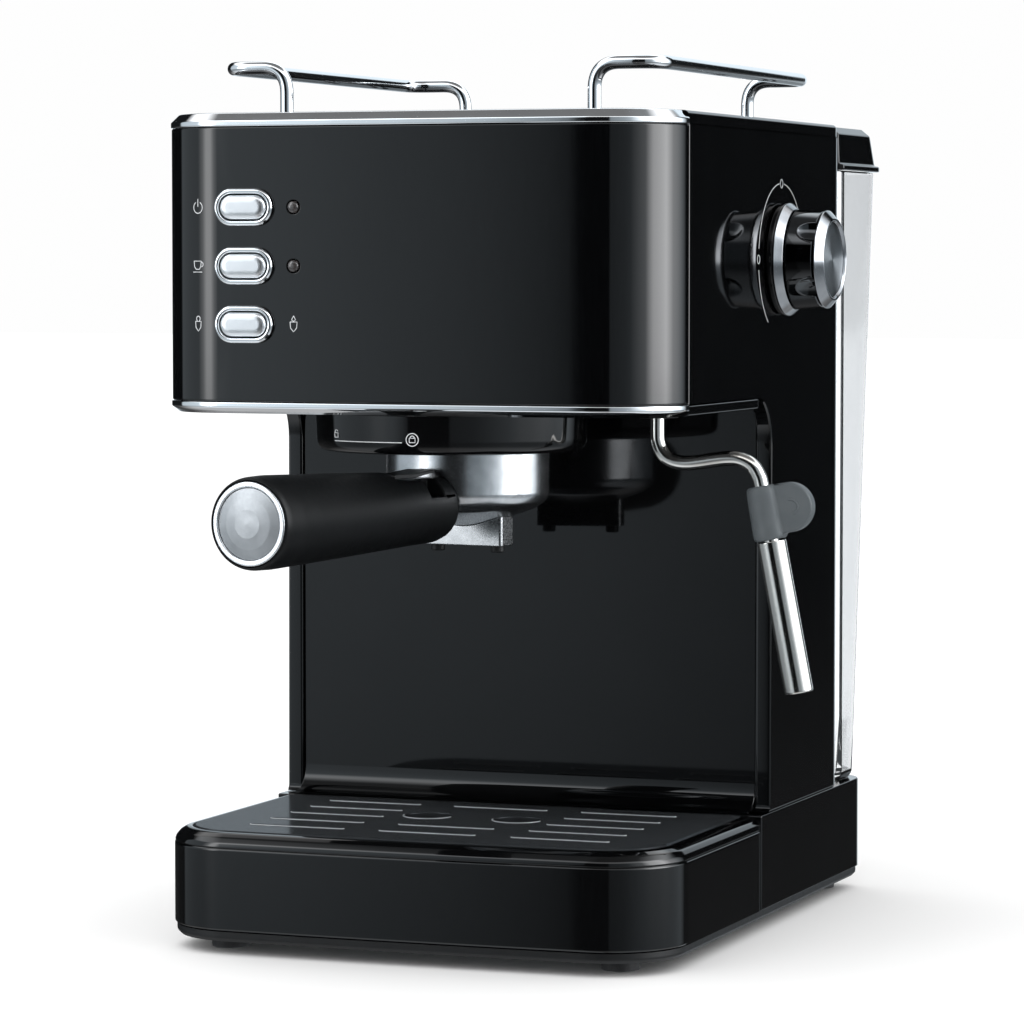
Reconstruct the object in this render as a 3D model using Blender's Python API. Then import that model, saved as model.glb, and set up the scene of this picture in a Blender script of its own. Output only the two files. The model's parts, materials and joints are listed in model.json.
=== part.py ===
"""A home espresso machine as an assembly. Metres, +Z up, +X to the machine's right, +Y towards its water tank.

Every shape is placed in machine coordinates: X = 0 is the plane of symmetry, Y = 0 the front panel and
Z = 0 the worktop. One empty, machine_origin, then moves the whole machine so that the middle of its
bounding box stands on the world origin.
"""

import math

import bmesh
import bpy
from mathutils import Matrix, Vector

# Driving dimensions
HALF_WIDTH = 0.100
FRONT_RADIUS = 0.030
FRONT_BOW = 0.0012
HEAD_REAR = 0.2275
HEAD_REAR_RADIUS = 0.013
BASE_REAR = 0.260
BASE_REAR_RADIUS = 0.012
GAP = 0.0003

# Facets in a full turn: large visible pieces, ordinary pieces and small or hidden ones
FINE_STEPS = 28
ROUND_STEPS = 20
SMALL_STEPS = 14

FOOT_HEIGHT = 0.005
PLATE_TOP = 0.0087
BASE_BOTTOM = 0.0090
FASCIA_TOP = 0.0395
DECK = 0.0450
TRAY_REAR = 0.1187
HOUSING_FRONT = 0.1190

HEAD_BOTTOM = 0.1995
SHELL_BOTTOM = 0.0453
HEAD_FLOOR_TOP = 0.2035
PANEL_TOP = 0.3037
TRIM_TOP = 0.3065
HEAD_TOP = 0.3090
GROUP_OPENING_RADIUS = 0.0450
WAND_OPENING_RADIUS = 0.0085

COLUMN_FRONT = 0.1300
PILLAR = 0.006
CORBEL_RADIUS = 0.018
COVE_RADIUS = 0.010
PILLAR_COVE_RADIUS = 0.0025
LEDGE_END = 0.1137
WRAP_THICKNESS = 0.0015
TRIM_THICKNESS = 0.0020
TRIM_PROUD = 0.0003
WALL = 0.0025
# How far the cutter of a wrapped strip's seat reaches outside the body, and behind the corner arcs
SEAT_OUTSIDE = -0.004
SEAT_REACH = 0.0003

GRID_INSET = 0.0070
GRID_REAR_INSET = 0.0025
GRID_BOTTOM = 0.0433
GRID_TOP = 0.0453
DRAIN_ROWS = [0.028 + 0.019 * i for i in range(5)]
DRAIN_SLOT = (0.0190, 0.0016)
NOZZLE_HOLE_RADIUS = 0.0095

GROUP_Y = 0.069
COLLAR_Y = 0.053
COLLAR_RADIUS = 0.0505
COLLAR_BACK_Y = 0.072
COLLAR_BACK_RADIUS = 0.0425
COLLAR_BOTTOM = 0.1850
COLLAR_STEPS = 36
HANDLE_TURN = 9.0
LUG_ENTRY_TURN = 44.0
HANDLE_Z = 0.1645
HANDLE_REACH = 0.1510
SPOUT_BOTTOM = 0.1490
SPOUT_HALF_LENGTH = 0.0172
SPOUT_HALF_DEPTH = 0.0048
NOZZLE_X = 0.0129
BOWL_RADIUS = 0.0305
# Radius and height of the bowl's domed underside, from its wall in to its drain
BOWL_UNDERSIDE = (
    (BOWL_RADIUS, 0.1680), (0.0290, 0.1652), (0.0250, 0.1625), (0.0166, 0.1598), (0.0080, 0.1570), (0.0040, 0.1562),
)

BUTTON_X = -0.0598
BUTTON_Z = (0.2745, 0.2532, 0.2320)
BUTTON_NAMES = ("power", "brew", "steam")
LAMP_X = -0.0404
BUTTON_HOLE = (0.0108, 0.0061)
LAMP_HOLE_RADIUS = 0.0025

KNOB_Y = 0.1416
KNOB_Z = 0.2556
KNOB_HOLE_RADIUS = 0.0062

WAND_X = 0.0760
WAND_Y = 0.0660
WAND_RADIUS = 0.00275
WAND_TILT = 11.0
SLEEVE_TOP = (0.1200, 0.1530)
SLEEVE_LENGTH = 0.0560

RAIL_RADIUS = 0.0025
RAIL_POST_X = 0.0606
RAIL_RUN_X = 0.0850
RAIL_FRONT = 0.040
RAIL_BACK = 0.2225
RAIL_HEIGHT = 0.3267

TANK_FRONT = 0.2290
TANK_REAR = 0.2855
TANK_REAR_LOW = 0.2575
TANK_RADIUS = 0.008
TANK_TOP = 0.2910
TANK_HALF = 0.0970
LID_REAR = 0.2890
LID_LIP_REAR = 0.2960
LID_HINGE = (0.2305, 0.3060)
VALVE_Y = 0.2440
VALVE_OPENING_RADIUS = 0.0070
PUMP_Y = 0.174
PUMP_OPENING_RADIUS = 0.0110
PUMP_COLLAR_RADIUS = 0.0124

# The bow is an arc that runs into both corner arcs: its half angle in degrees, and its radius
BOW_TURN = 2 * math.degrees(math.atan(FRONT_BOW / (HALF_WIDTH - FRONT_RADIUS)))
BOW_RADIUS = (HALF_WIDTH - FRONT_RADIUS) / math.sin(math.radians(BOW_TURN)) + FRONT_RADIUS

# The middle of the machine's bounding box, in machine coordinates
MIDDLE = Vector((0.01791, 0.10729, 0))

FINISHES = {
    "gloss_black": ((0.010, 0.010, 0.011), 0.08, 0.0),
    "satin_black": ((0.020, 0.020, 0.022), 0.30, 0.6),
    "matte_black": ((0.016, 0.016, 0.017), 0.55, 0.0),
    "chrome": ((0.80, 0.81, 0.83), 0.08, 1.0),
    "satin_metal": ((0.62, 0.63, 0.65), 0.28, 1.0),
    "steel": ((0.66, 0.66, 0.67), 0.20, 1.0),
    "aluminium": ((0.60, 0.61, 0.62), 0.35, 1.0),
    "brass": ((0.72, 0.52, 0.24), 0.30, 1.0),
    "grey_rubber": ((0.115, 0.122, 0.130), 0.55, 0.0),
    "black_rubber": ((0.018, 0.018, 0.019), 0.70, 0.0),
    "silicone": ((0.75, 0.74, 0.70), 0.45, 0.0),
    "clear_plastic": ((0.75, 0.78, 0.80), 0.06, 0.0),
    "lamp": ((0.10, 0.03, 0.03), 0.20, 0.0),
    "circuit": ((0.03, 0.16, 0.08), 0.45, 0.0),
    "copper_coil": ((0.45, 0.20, 0.08), 0.40, 0.8),
}


# ---------------------------------------------------------------- shapes

def loft(rings, ring_shaped=False):
    """Faces between successive rings of points, capped at both ends, or joined end to start."""
    count = len(rings[0])
    points = [Vector(p) for ring in rings for p in ring]
    faces = []
    levels = len(rings) if ring_shaped else len(rings) - 1
    for level in range(levels):
        low = level * count
        high = (level + 1) % len(rings) * count
        for i in range(count):
            j = (i + 1) % count
            faces.append((low + i, low + j, high + j, high + i))
    if not ring_shaped:
        faces.append(tuple(range(count))[::-1])
        faces.append(tuple(range((len(rings) - 1) * count, len(rings) * count)))
    return points, faces


def moved(shape, matrix):
    points, faces = shape
    return [matrix @ p for p in points], faces


def shifted(shape, x=0.0, y=0.0, z=0.0):
    return moved(shape, Matrix.Translation((x, y, z)))


def level(outline, z):
    return [(x, y, z) for x, y in outline]


def prism(outline, low, high):
    """The outline, in X and Y, raised from low to high."""
    return loft([level(outline, low), level(outline, high)])


def prism_x(outline, low, high):
    """The outline, in Y and Z, raised along X."""
    return loft([[(x, y, z) for y, z in outline] for x in (low, high)])


def arc(centre, radius, start, end, steps):
    """Points of an arc, angles in degrees, both ends included."""
    angles = [math.radians(start + (end - start) * i / steps) for i in range(steps + 1)]
    return [(centre[0] + radius * math.cos(a), centre[1] + radius * math.sin(a)) for a in angles]


def circle(radius, steps=ROUND_STEPS, centre=(0.0, 0.0)):
    return arc(centre, radius, 0, 360, steps)[:-1]


def stadium(half_length, half_height, steps=4):
    """A slot outline with round ends, long in its first coordinate."""
    straight = half_length - half_height
    right = arc((straight, 0), half_height, -90, 90, steps)
    left = arc((-straight, 0), half_height, 90, 270, steps)
    return right + left


def rounded_box(left, right, front, rear, radius, steps=4):
    corners = (
        ((right - radius, front + radius), -90),
        ((right - radius, rear - radius), 0),
        ((left + radius, rear - radius), 90),
        ((left + radius, front + radius), 180),
    )
    points = []
    for centre, start in corners:
        points += arc(centre, radius, start, start + 90, steps)
    return points


def bowed_front(inset, steps=6):
    """The gently bowed front edge between its two corner arcs, from left to right, ends left out."""
    centre = (0.0, FRONT_RADIUS + (BOW_RADIUS - FRONT_RADIUS) * math.cos(math.radians(BOW_TURN)))
    return arc(centre, BOW_RADIUS - inset, -90 - BOW_TURN, -90 + BOW_TURN, steps)[1:-1]


def plan(rear, rear_radius, inset=0.0, rear_inset=None, steps=6):
    """The machine's plan outline: round front corners, bowed front, tighter rear corners."""
    rear_inset = inset if rear_inset is None else rear_inset
    half = HALF_WIDTH - inset
    front_radius = max(FRONT_RADIUS - inset, 0.001)
    back_radius = max(rear_radius - inset, 0.0006)
    centre_x = half - front_radius
    back = rear - rear_inset
    points = arc((centre_x, FRONT_RADIUS), front_radius, -90 + BOW_TURN, 0, steps)
    points += arc((half - back_radius, back - back_radius), back_radius, 0, 90, 3)
    points += arc((-half + back_radius, back - back_radius), back_radius, 90, 180, 3)
    points += arc((-centre_x, FRONT_RADIUS), front_radius, 180, 270 - BOW_TURN, steps)
    return points + bowed_front(inset)


def front_path(inset, reach, steps=6):
    """Round the front from the right side to the left, starting reach behind the corner arcs."""
    half = HALF_WIDTH - inset
    radius = FRONT_RADIUS - inset
    path = arc((half - radius, FRONT_RADIUS), radius, 0, -90 + BOW_TURN, steps)
    path += bowed_front(inset)[::-1]
    path += arc((-half + radius, FRONT_RADIUS), radius, -90 - BOW_TURN, -180, steps)
    if reach > 0:
        path = [(half, FRONT_RADIUS + reach)] + path + [(-half, FRONT_RADIUS + reach)]
    return path


def wrap(outer, inner, low, high, reach=0.0):
    """A band round the front and its corners, between two insets."""
    return prism(front_path(outer, reach) + front_path(inner, reach)[::-1], low, high)


def turned(profile, steps=ROUND_STEPS, ring_shaped=False):
    """A profile of (radius, height) turned about Z."""
    return loft([level(circle(r, steps), h) for r, h in profile], ring_shaped)


def along_x():
    return Matrix.Rotation(math.radians(90), 4, "Y")


def towards_front():
    """Turns +Z to point along -Y, with X kept."""
    return Matrix.Rotation(math.radians(90), 4, "X")


# ---------------------------------------------------------------- objects

def finish_of(name, finish):
    colour, roughness, metallic = FINISHES[finish]
    material = bpy.data.materials.new(name + "_finish")
    material.use_nodes = True
    shader = material.node_tree.nodes["Principled BSDF"]
    shader.inputs["Base Color"].default_value = (*colour, 1.0)
    shader.inputs["Roughness"].default_value = roughness
    shader.inputs["Metallic"].default_value = metallic
    if finish == "clear_plastic":
        shader.inputs["Transmission Weight"].default_value = 0.9
    return material


def place(obj, parent, location, rotation):
    bpy.context.scene.collection.objects.link(obj)
    obj.parent = parent
    obj.location = location
    obj.rotation_euler = rotation
    return obj


def add(name, shape, finish, parent, location=(0, 0, 0), rotation=(0, 0, 0)):
    """One object from one or more shapes; cutters are the only ones made of several."""
    shapes = shape if isinstance(shape, list) else [shape]
    work = bmesh.new()
    for points, faces in shapes:
        made = [work.verts.new(p) for p in points]
        for face in faces:
            work.faces.new([made[i] for i in face])
    bmesh.ops.recalc_face_normals(work, faces=work.faces)
    mesh = bpy.data.meshes.new(name)
    work.to_mesh(mesh)
    work.free()
    mesh.shade_smooth()
    mesh.set_sharp_from_angle(angle=math.radians(35))
    if finish:
        mesh.materials.append(finish_of(name, finish))
    return place(bpy.data.objects.new(name, mesh), parent, location, rotation)


def combine(target, shape, operation, label, location=None, rotation=None):
    """Adds or takes away a hidden helper shape, which is placed as the target is unless told otherwise."""
    location = target.location if location is None else location
    rotation = target.rotation_euler if rotation is None else rotation
    helper = add(target.name + "_" + label, shape, None, target.parent, location, rotation)
    helper.hide_render = True
    helper.display_type = "WIRE"
    modifier = target.modifiers.new(label, "BOOLEAN")
    modifier.operation = operation
    modifier.object = helper
    return helper


def cut(target, shape, label, **place_at):
    return combine(target, shape, "DIFFERENCE", label, **place_at)


def join(target, shape, label, **place_at):
    return combine(target, shape, "UNION", label, **place_at)


def tube(name, path, radius, finish, parent, resolution=2):
    """A round wire, pipe or hose along a list of points."""
    curve = bpy.data.curves.new(name, "CURVE")
    curve.dimensions = "3D"
    curve.bevel_depth = radius
    curve.bevel_resolution = resolution
    curve.use_fill_caps = True
    spline = curve.splines.new("POLY")
    spline.points.add(len(path) - 1)
    for point, place_on in zip(spline.points, path):
        point.co = (*place_on, 1.0)
    curve.materials.append(finish_of(name, finish))
    return place(bpy.data.objects.new(name, curve), parent, (0, 0, 0), (0, 0, 0))


def rounded_path(corners, radius, steps=4):
    """A path through the corners, each turned with an arc-like bend of the given size."""
    corners = [Vector(c) for c in corners]
    path = [corners[0]]
    for before, corner, after in zip(corners, corners[1:], corners[2:]):
        start = corner + (before - corner).normalized() * radius
        end = corner + (after - corner).normalized() * radius
        for i in range(steps + 1):
            t = i / steps
            path.append((1 - t) ** 2 * start + 2 * t * (1 - t) * corner + t ** 2 * end)
    return path + [corners[-1]]


def empty(name, parent, location=(0, 0, 0), rotation=(0, 0, 0)):
    return place(bpy.data.objects.new(name, None), parent, location, rotation)


# ---------------------------------------------------------------- base

def add_feet(machine):
    profile = ((0.0062, 0.0), (0.0070, 0.0008), (0.0070, FOOT_HEIGHT - GAP))
    places = {
        "foot_front_left": (-0.077, 0.023),
        "foot_front_right": (0.077, 0.023),
        "foot_rear_left": (-0.084, 0.246),
        "foot_rear_right": (0.084, 0.246),
    }
    for name, (x, y) in places.items():
        add(name, turned(profile, SMALL_STEPS), "black_rubber", machine, (x, y, 0))


def add_base_plate(machine):
    outline = plan(BASE_REAR, BASE_REAR_RADIUS, 0.0008)
    add("base_plate", prism(outline, FOOT_HEIGHT, PLATE_TOP), "matte_black", machine)


def through_deck(outline, x=0.0, y=0.0):
    """A cutter through the top of the base, or through the drip grid."""
    return shifted(prism(outline, DECK - WALL - 0.0025, DECK + 0.0050), x, y)


def add_rear_base(machine):
    """The rear of the base: an open-bottomed box whose top carries the column and the tank."""
    def section(inset, z):
        half = HALF_WIDTH - inset
        radius = max(BASE_REAR_RADIUS - inset, 0.001)
        rear = BASE_REAR - inset
        front = HOUSING_FRONT + min(inset, WALL)
        outline = [(-half, front), (half, front)]
        outline += arc((half - radius, rear - radius), radius, 0, 90, 4)
        outline += arc((-half + radius, rear - radius), radius, 90, 180, 4)
        return level(outline, z)

    housing = add("rear_base", loft([
        section(WALL, DECK - WALL), section(WALL, BASE_BOTTOM), section(0, BASE_BOTTOM),
        section(0, DECK - 0.0004), section(0.0004, DECK),
    ]), "gloss_black", machine)
    cut(housing, [
        through_deck(circle(PUMP_OPENING_RADIUS), y=PUMP_Y),
        through_deck(circle(VALVE_OPENING_RADIUS), y=VALVE_Y),
    ], "openings")
    add_cord_gland(housing, machine)


def add_cord_gland(housing, machine):
    """A flanged bush in the rear wall for the mains lead."""
    place_at = dict(location=(-0.060, BASE_REAR, 0.024), rotation=(math.radians(-90), 0, 0))
    cut(housing, prism(circle(0.0063), -0.006, 0.006), "gland_hole", **place_at)
    profile = (
        (0.0034, -0.0060), (0.0060, -0.0060), (0.0060, GAP), (0.0090, GAP), (0.0086, 0.0022),
        (0.0058, 0.0032), (0.0050, 0.0120), (0.0034, 0.0120),
    )
    add("cord_gland", turned(profile, SMALL_STEPS, True), "black_rubber", machine, **place_at)


def add_drip_tray(machine):
    """The sliding front of the base, with a fascia let into its face and a grid in its mouth."""
    tray_slide = empty("drip_tray_slide", machine)

    def section(inset, z, rear_inset=0.0):
        return level(plan(TRAY_REAR, 0.002, inset, rear_inset), z)

    tray = add("drip_tray", loft([
        section(0, BASE_BOTTOM), section(0, FASCIA_TOP), section(0.0006, 0.0415),
        section(0.0020, 0.0433), section(0.0042, 0.0446), section(0.0064, DECK),
        section(0.0067, 0.0430, 0.0022), section(0.0100, 0.0430, 0.0050),
        section(0.0110, 0.0120, 0.0060),
    ]), "gloss_black", tray_slide)
    seat = wrap(WRAP_THICKNESS + GAP, SEAT_OUTSIDE, BASE_BOTTOM - 0.0020, FASCIA_TOP + GAP, SEAT_REACH)
    cut(tray, seat, "fascia_seat")
    add("tray_fascia", wrap(0, WRAP_THICKNESS, BASE_BOTTOM + GAP, FASCIA_TOP), "satin_black", tray_slide)
    add_drip_grid(tray_slide)


def add_drip_grid(tray_slide):
    """A lift-out grid with three columns of slots, and two round holes under the nozzles."""
    def section(extra, z):
        return level(plan(TRAY_REAR, 0.002, GRID_INSET + extra, GRID_REAR_INSET + extra), z)

    grid = add("drip_grid", loft([
        section(0, GRID_BOTTOM), section(0, GRID_TOP - 0.0005), section(0.0006, GRID_TOP),
    ]), "gloss_black", empty("drip_grid_lift", tray_slide))
    slot = stadium(*DRAIN_SLOT)
    slots = [through_deck(slot, x, y) for x in (-0.052, 0.052) for y in DRAIN_ROWS]
    slots += [through_deck(slot, 0, DRAIN_ROWS[row]) for row in (0, 1, 4)]
    holes = [through_deck(circle(NOZZLE_HOLE_RADIUS), x, 0.074) for x in (-0.018, 0.018)]
    cut(grid, slots + holes, "drain_slots")


# ---------------------------------------------------------------- body

def column_clearance(bottom):
    """The space under the head and in front of the column, as an outline in Y and Z."""
    front = -0.020
    radius = PILLAR_COVE_RADIUS
    cove = arc((COLUMN_FRONT - radius, SHELL_BOTTOM + radius), radius, -90, 0, 4)
    corbel_centre = (COLUMN_FRONT - CORBEL_RADIUS, HEAD_FLOOR_TOP + GAP - CORBEL_RADIUS)
    corbel = arc(corbel_centre, CORBEL_RADIUS, 0, 90, 6)
    return [(front, bottom), (cove[0][0], bottom)] + cove + corbel + [(front, corbel[-1][1])]


def add_body_shell(machine):
    """One moulding: the sides and back of the head, running down into the column."""
    below, above = 0.030, PANEL_TOP + 0.010
    block = prism(plan(HEAD_REAR, HEAD_REAR_RADIUS), SHELL_BOTTOM, PANEL_TOP)
    shell = add("body_shell", block, "gloss_black", machine)
    cut(shell, prism_x(column_clearance(below), -1.2 * HALF_WIDTH, 1.2 * HALF_WIDTH), "bay")
    inner = plan(HEAD_REAR, HEAD_REAR_RADIUS, 0.0043, WALL)
    cut(shell, prism(inner, HEAD_FLOOR_TOP - 0.002, above), "head_hollow")
    column = rounded_box(-0.097, 0.097, COLUMN_FRONT + 0.004, HEAD_REAR - WALL, HEAD_REAR_RADIUS - WALL)
    cut(shell, prism(column, below, HEAD_FLOOR_TOP + 0.010), "column_hollow")
    half = HALF_WIDTH - PILLAR
    window = rounded_box(-half, half, COLUMN_FRONT - 0.030, COLUMN_FRONT + 0.010, 0.001, 1)
    cut(shell, prism(window, below, HEAD_FLOOR_TOP + GAP), "splash_window")
    cut(shell, wrap(WRAP_THICKNESS + GAP, SEAT_OUTSIDE, HEAD_BOTTOM + 0.0005, above, SEAT_REACH), "panel_seat")
    knob_hole = moved(prism(circle(KNOB_HOLE_RADIUS), -0.010, 0.010), along_x())
    cut(shell, control_holes(GAP) + [shifted(knob_hole, HALF_WIDTH, KNOB_Y, KNOB_Z)], "control_holes")


def control_holes(extra):
    """The holes behind the buttons and lamps, through the front panel and the shell."""
    half_length, half_height = BUTTON_HOLE
    button = moved(prism(stadium(half_length + extra, half_height + extra), -0.010, 0.010), towards_front())
    lamp = moved(prism(circle(LAMP_HOLE_RADIUS + extra, SMALL_STEPS), -0.010, 0.010), towards_front())
    holes = [shifted(button, BUTTON_X, 0, z) for z in BUTTON_Z]
    return holes + [shifted(lamp, LAMP_X, 0, z) for z in BUTTON_Z[:2]]


def add_splash_panel(machine):
    """The polished back of the cup bay, which sweeps forward at its foot."""
    front = COLUMN_FRONT + 0.0015
    back = front + 0.0020
    top = HEAD_BOTTOM - 0.0005
    half = HALF_WIDTH - PILLAR - GAP
    face = arc((front - COVE_RADIUS, SHELL_BOTTOM + COVE_RADIUS + 0.0005), COVE_RADIUS, -90, 0, 6) + [(front, top)]
    outline = face + [(back, top), (back, SHELL_BOTTOM), (face[0][0], SHELL_BOTTOM)]
    add("splash_panel", prism_x(outline, -half, half), "gloss_black", machine)


def add_front_panel(machine):
    sheet = wrap(0, WRAP_THICKNESS, HEAD_FLOOR_TOP + GAP, PANEL_TOP)
    panel = add("front_panel", sheet, "satin_black", machine)
    cut(panel, control_holes(0.0), "control_holes")


def add_trims(machine):
    for name, low, high in (("bottom_trim", HEAD_BOTTOM, HEAD_FLOOR_TOP), ("top_trim", PANEL_TOP + GAP, TRIM_TOP)):
        add(name, wrap(-TRIM_PROUD, TRIM_THICKNESS, low, high), "chrome", machine)


def add_head_floor(machine):
    """The underside of the head, with the openings for the brew group and the steam wand."""
    below, above = HEAD_BOTTOM - 0.010, HEAD_FLOOR_TOP + 0.010
    half = HALF_WIDTH - PILLAR - 0.001
    floor = add("head_floor", prism(plan(LEDGE_END, 0.001), HEAD_BOTTOM, HEAD_FLOOR_TOP), "gloss_black", machine)
    tongue = rounded_box(-half, half, LEDGE_END - 0.010, COLUMN_FRONT + 0.0012, 0.001, 1)
    join(floor, prism(tongue, HEAD_BOTTOM, HEAD_FLOOR_TOP), "tongue")
    cut(floor, wrap(TRIM_THICKNESS + GAP, SEAT_OUTSIDE, below, above, SEAT_REACH), "trim_seat")
    cut(floor, [
        shifted(prism(circle(GROUP_OPENING_RADIUS, FINE_STEPS), below, above), 0, GROUP_Y),
        shifted(prism(circle(WAND_OPENING_RADIUS), below, above), WAND_X, WAND_Y),
    ], "openings")


def add_top_cover(machine):
    """The lid of the head: a dished plate with a raised rim, and holes for the rails' posts."""
    def section(inset, z):
        return level(plan(HEAD_REAR, HEAD_REAR_RADIUS, inset), z)

    cover = add("top_cover", loft([
        section(0.0003, PANEL_TOP + GAP), section(0.0003, 0.3072), section(0.0010, 0.3082),
        section(0.0026, 0.3088), section(0.0050, HEAD_TOP), section(0.0075, HEAD_TOP),
        section(0.0085, 0.3078),
    ]), "gloss_black", machine)
    below, above = PANEL_TOP - 0.004, HEAD_TOP + 0.010
    cut(cover, wrap(TRIM_THICKNESS + GAP, SEAT_OUTSIDE, below, TRIM_TOP + GAP, SEAT_REACH), "trim_seat")
    post = prism(circle(RAIL_RADIUS + GAP, SMALL_STEPS), below, above)
    cut(cover, [
        shifted(post, x, y) for x in (-RAIL_POST_X, RAIL_POST_X) for y in (RAIL_FRONT, RAIL_BACK)
    ], "post_holes")


def add_cup_rails(machine):
    foot = PANEL_TOP + 0.0008
    for name, side in (("cup_rail_left", -1), ("cup_rail_right", 1)):
        post, run = side * RAIL_POST_X, side * RAIL_RUN_X
        corners = [
            (post, RAIL_FRONT, foot), (post, RAIL_FRONT, RAIL_HEIGHT), (run, RAIL_FRONT, RAIL_HEIGHT),
            (run, RAIL_BACK, RAIL_HEIGHT), (post, RAIL_BACK, RAIL_HEIGHT), (post, RAIL_BACK, foot),
        ]
        tube(name, rounded_path(corners, 0.0095), RAIL_RADIUS, "chrome", machine)


# ---------------------------------------------------------------- controls

def add_buttons(machine):
    """Each key rides in a bezel. Their profiles are (inset from the bezel's outline, height off the panel)."""
    bezel = (
        (0.0020, -0.0060), (0.0010, -0.0060), (0.0010, 0.0010), (0, 0.0010), (0, 0.0020), (0.0006, 0.0027),
        (0.0018, 0.0024),
    )
    key = ((0.0024, -0.0085), (0.0024, 0.0026), (0.0028, 0.0032), (0.0040, 0.0035))

    def section(inset, height):
        return level(stadium(0.0116 - inset, 0.0069 - inset), height)

    for name, z in zip(BUTTON_NAMES, BUTTON_Z):
        place_at = ((BUTTON_X, 0, z), (math.radians(90), 0, 0))
        add(name + "_button_bezel", loft([section(*p) for p in bezel], True), "chrome", machine, *place_at)
        add(name + "_button", loft([section(*p) for p in key]), "satin_metal", machine, *place_at)


def add_lamps(machine):
    """The power and ready lamps, beside the first two buttons."""
    profile = ((0.0022, -0.0060), (0.0022, 0.0012), (0.0018, 0.0017), (0.0010, 0.0019))
    for name, z in zip(("power_lamp", "ready_lamp"), BUTTON_Z):
        add(name, turned(profile, SMALL_STEPS), "lamp", machine, (LAMP_X, 0, z), (math.radians(90), 0, 0))


def add_control_board(machine):
    """The circuit board behind the buttons, and the bank of three push switches that it carries."""
    board = rounded_box(-0.078, -0.034, 0.214, 0.292, 0.002, 2)
    plate = shifted(moved(prism(board, 0, 0.0016), towards_front()), y=0.0190)
    unit = add("control_board", plate, "circuit", machine)
    block = [(0.0116, 0.2230), (0.0180, 0.2230), (0.0180, 0.2830), (0.0116, 0.2830)]
    join(unit, prism_x(block, BUTTON_X - 0.006, BUTTON_X + 0.006), "switches")


def add_steam_knob(machine):
    """Everything on the knob's axis: heights run outward from the side panel."""
    axis = empty("steam_knob_axis", machine, (HALF_WIDTH, KNOB_Y, KNOB_Z), (0, math.radians(90), 0))
    add("knob_skirt", turned((
        (0.0150, 0.0005), (0.0208, 0.0005), (0.0215, 0.0012), (0.0215, 0.0034), (0.0190, 0.0064),
        (0.0187, 0.0064), (0.0187, 0.0045), (0.0150, 0.0045),
    ), FINE_STEPS, True), "chrome", axis)
    body = add("knob_body", turned((
        (0.0144, 0.0007), (0.0144, 0.0049), (0.0183, 0.0049), (0.0183, 0.0067), (0.0191, 0.0070),
        (0.0181, 0.0172), (0.0158, 0.0179),
    ), FINE_STEPS), "gloss_black", axis)
    cut(body, turned(((0.0052, -0.0020), (0.0052, 0.0100)), SMALL_STEPS), "stem_socket")
    add("knob_cap", turned((
        (0.0153, 0.0183), (0.0180, 0.0178), (0.0186, 0.0182), (0.0186, 0.0185), (0.0154, 0.0214),
        (0.0148, 0.0214), (0.0140, 0.0203),
    ), FINE_STEPS), "chrome", axis)
    stem = ((0.0036, -0.0160), (0.0036, 0.0050), (0.0048, 0.0050), (0.0048, 0.0096))
    add("valve_stem", turned(stem, SMALL_STEPS), "brass", axis)
    housing = ((0.0095, -0.0400), (0.0110, -0.0390), (0.0110, -0.0120), (0.0070, -0.0110), (0.0070, -0.0050))
    valve = add("steam_valve", turned(housing, SMALL_STEPS), "brass", machine, axis.location, axis.rotation_euler)
    cut(valve, turned(((0.0038, -0.0165), (0.0038, 0.0)), SMALL_STEPS), "stem_bore")


# ---------------------------------------------------------------- brew group

def collar_outline(inset):
    """A large circle at the front and a smaller one behind the brew group, joined by their tangents."""
    turn = math.degrees(math.acos((COLLAR_RADIUS - COLLAR_BACK_RADIUS) / (COLLAR_BACK_Y - COLLAR_Y)))
    points = []
    for i in range(COLLAR_STEPS):
        angle = 360 * i / COLLAR_STEPS
        behind = abs(angle - 90) < turn
        radius = (COLLAR_BACK_RADIUS if behind else COLLAR_RADIUS) - inset
        centre_y = COLLAR_BACK_Y if behind else COLLAR_Y
        a = math.radians(angle)
        points.append((radius * math.cos(a), centre_y + radius * math.sin(a)))
    return points


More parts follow.
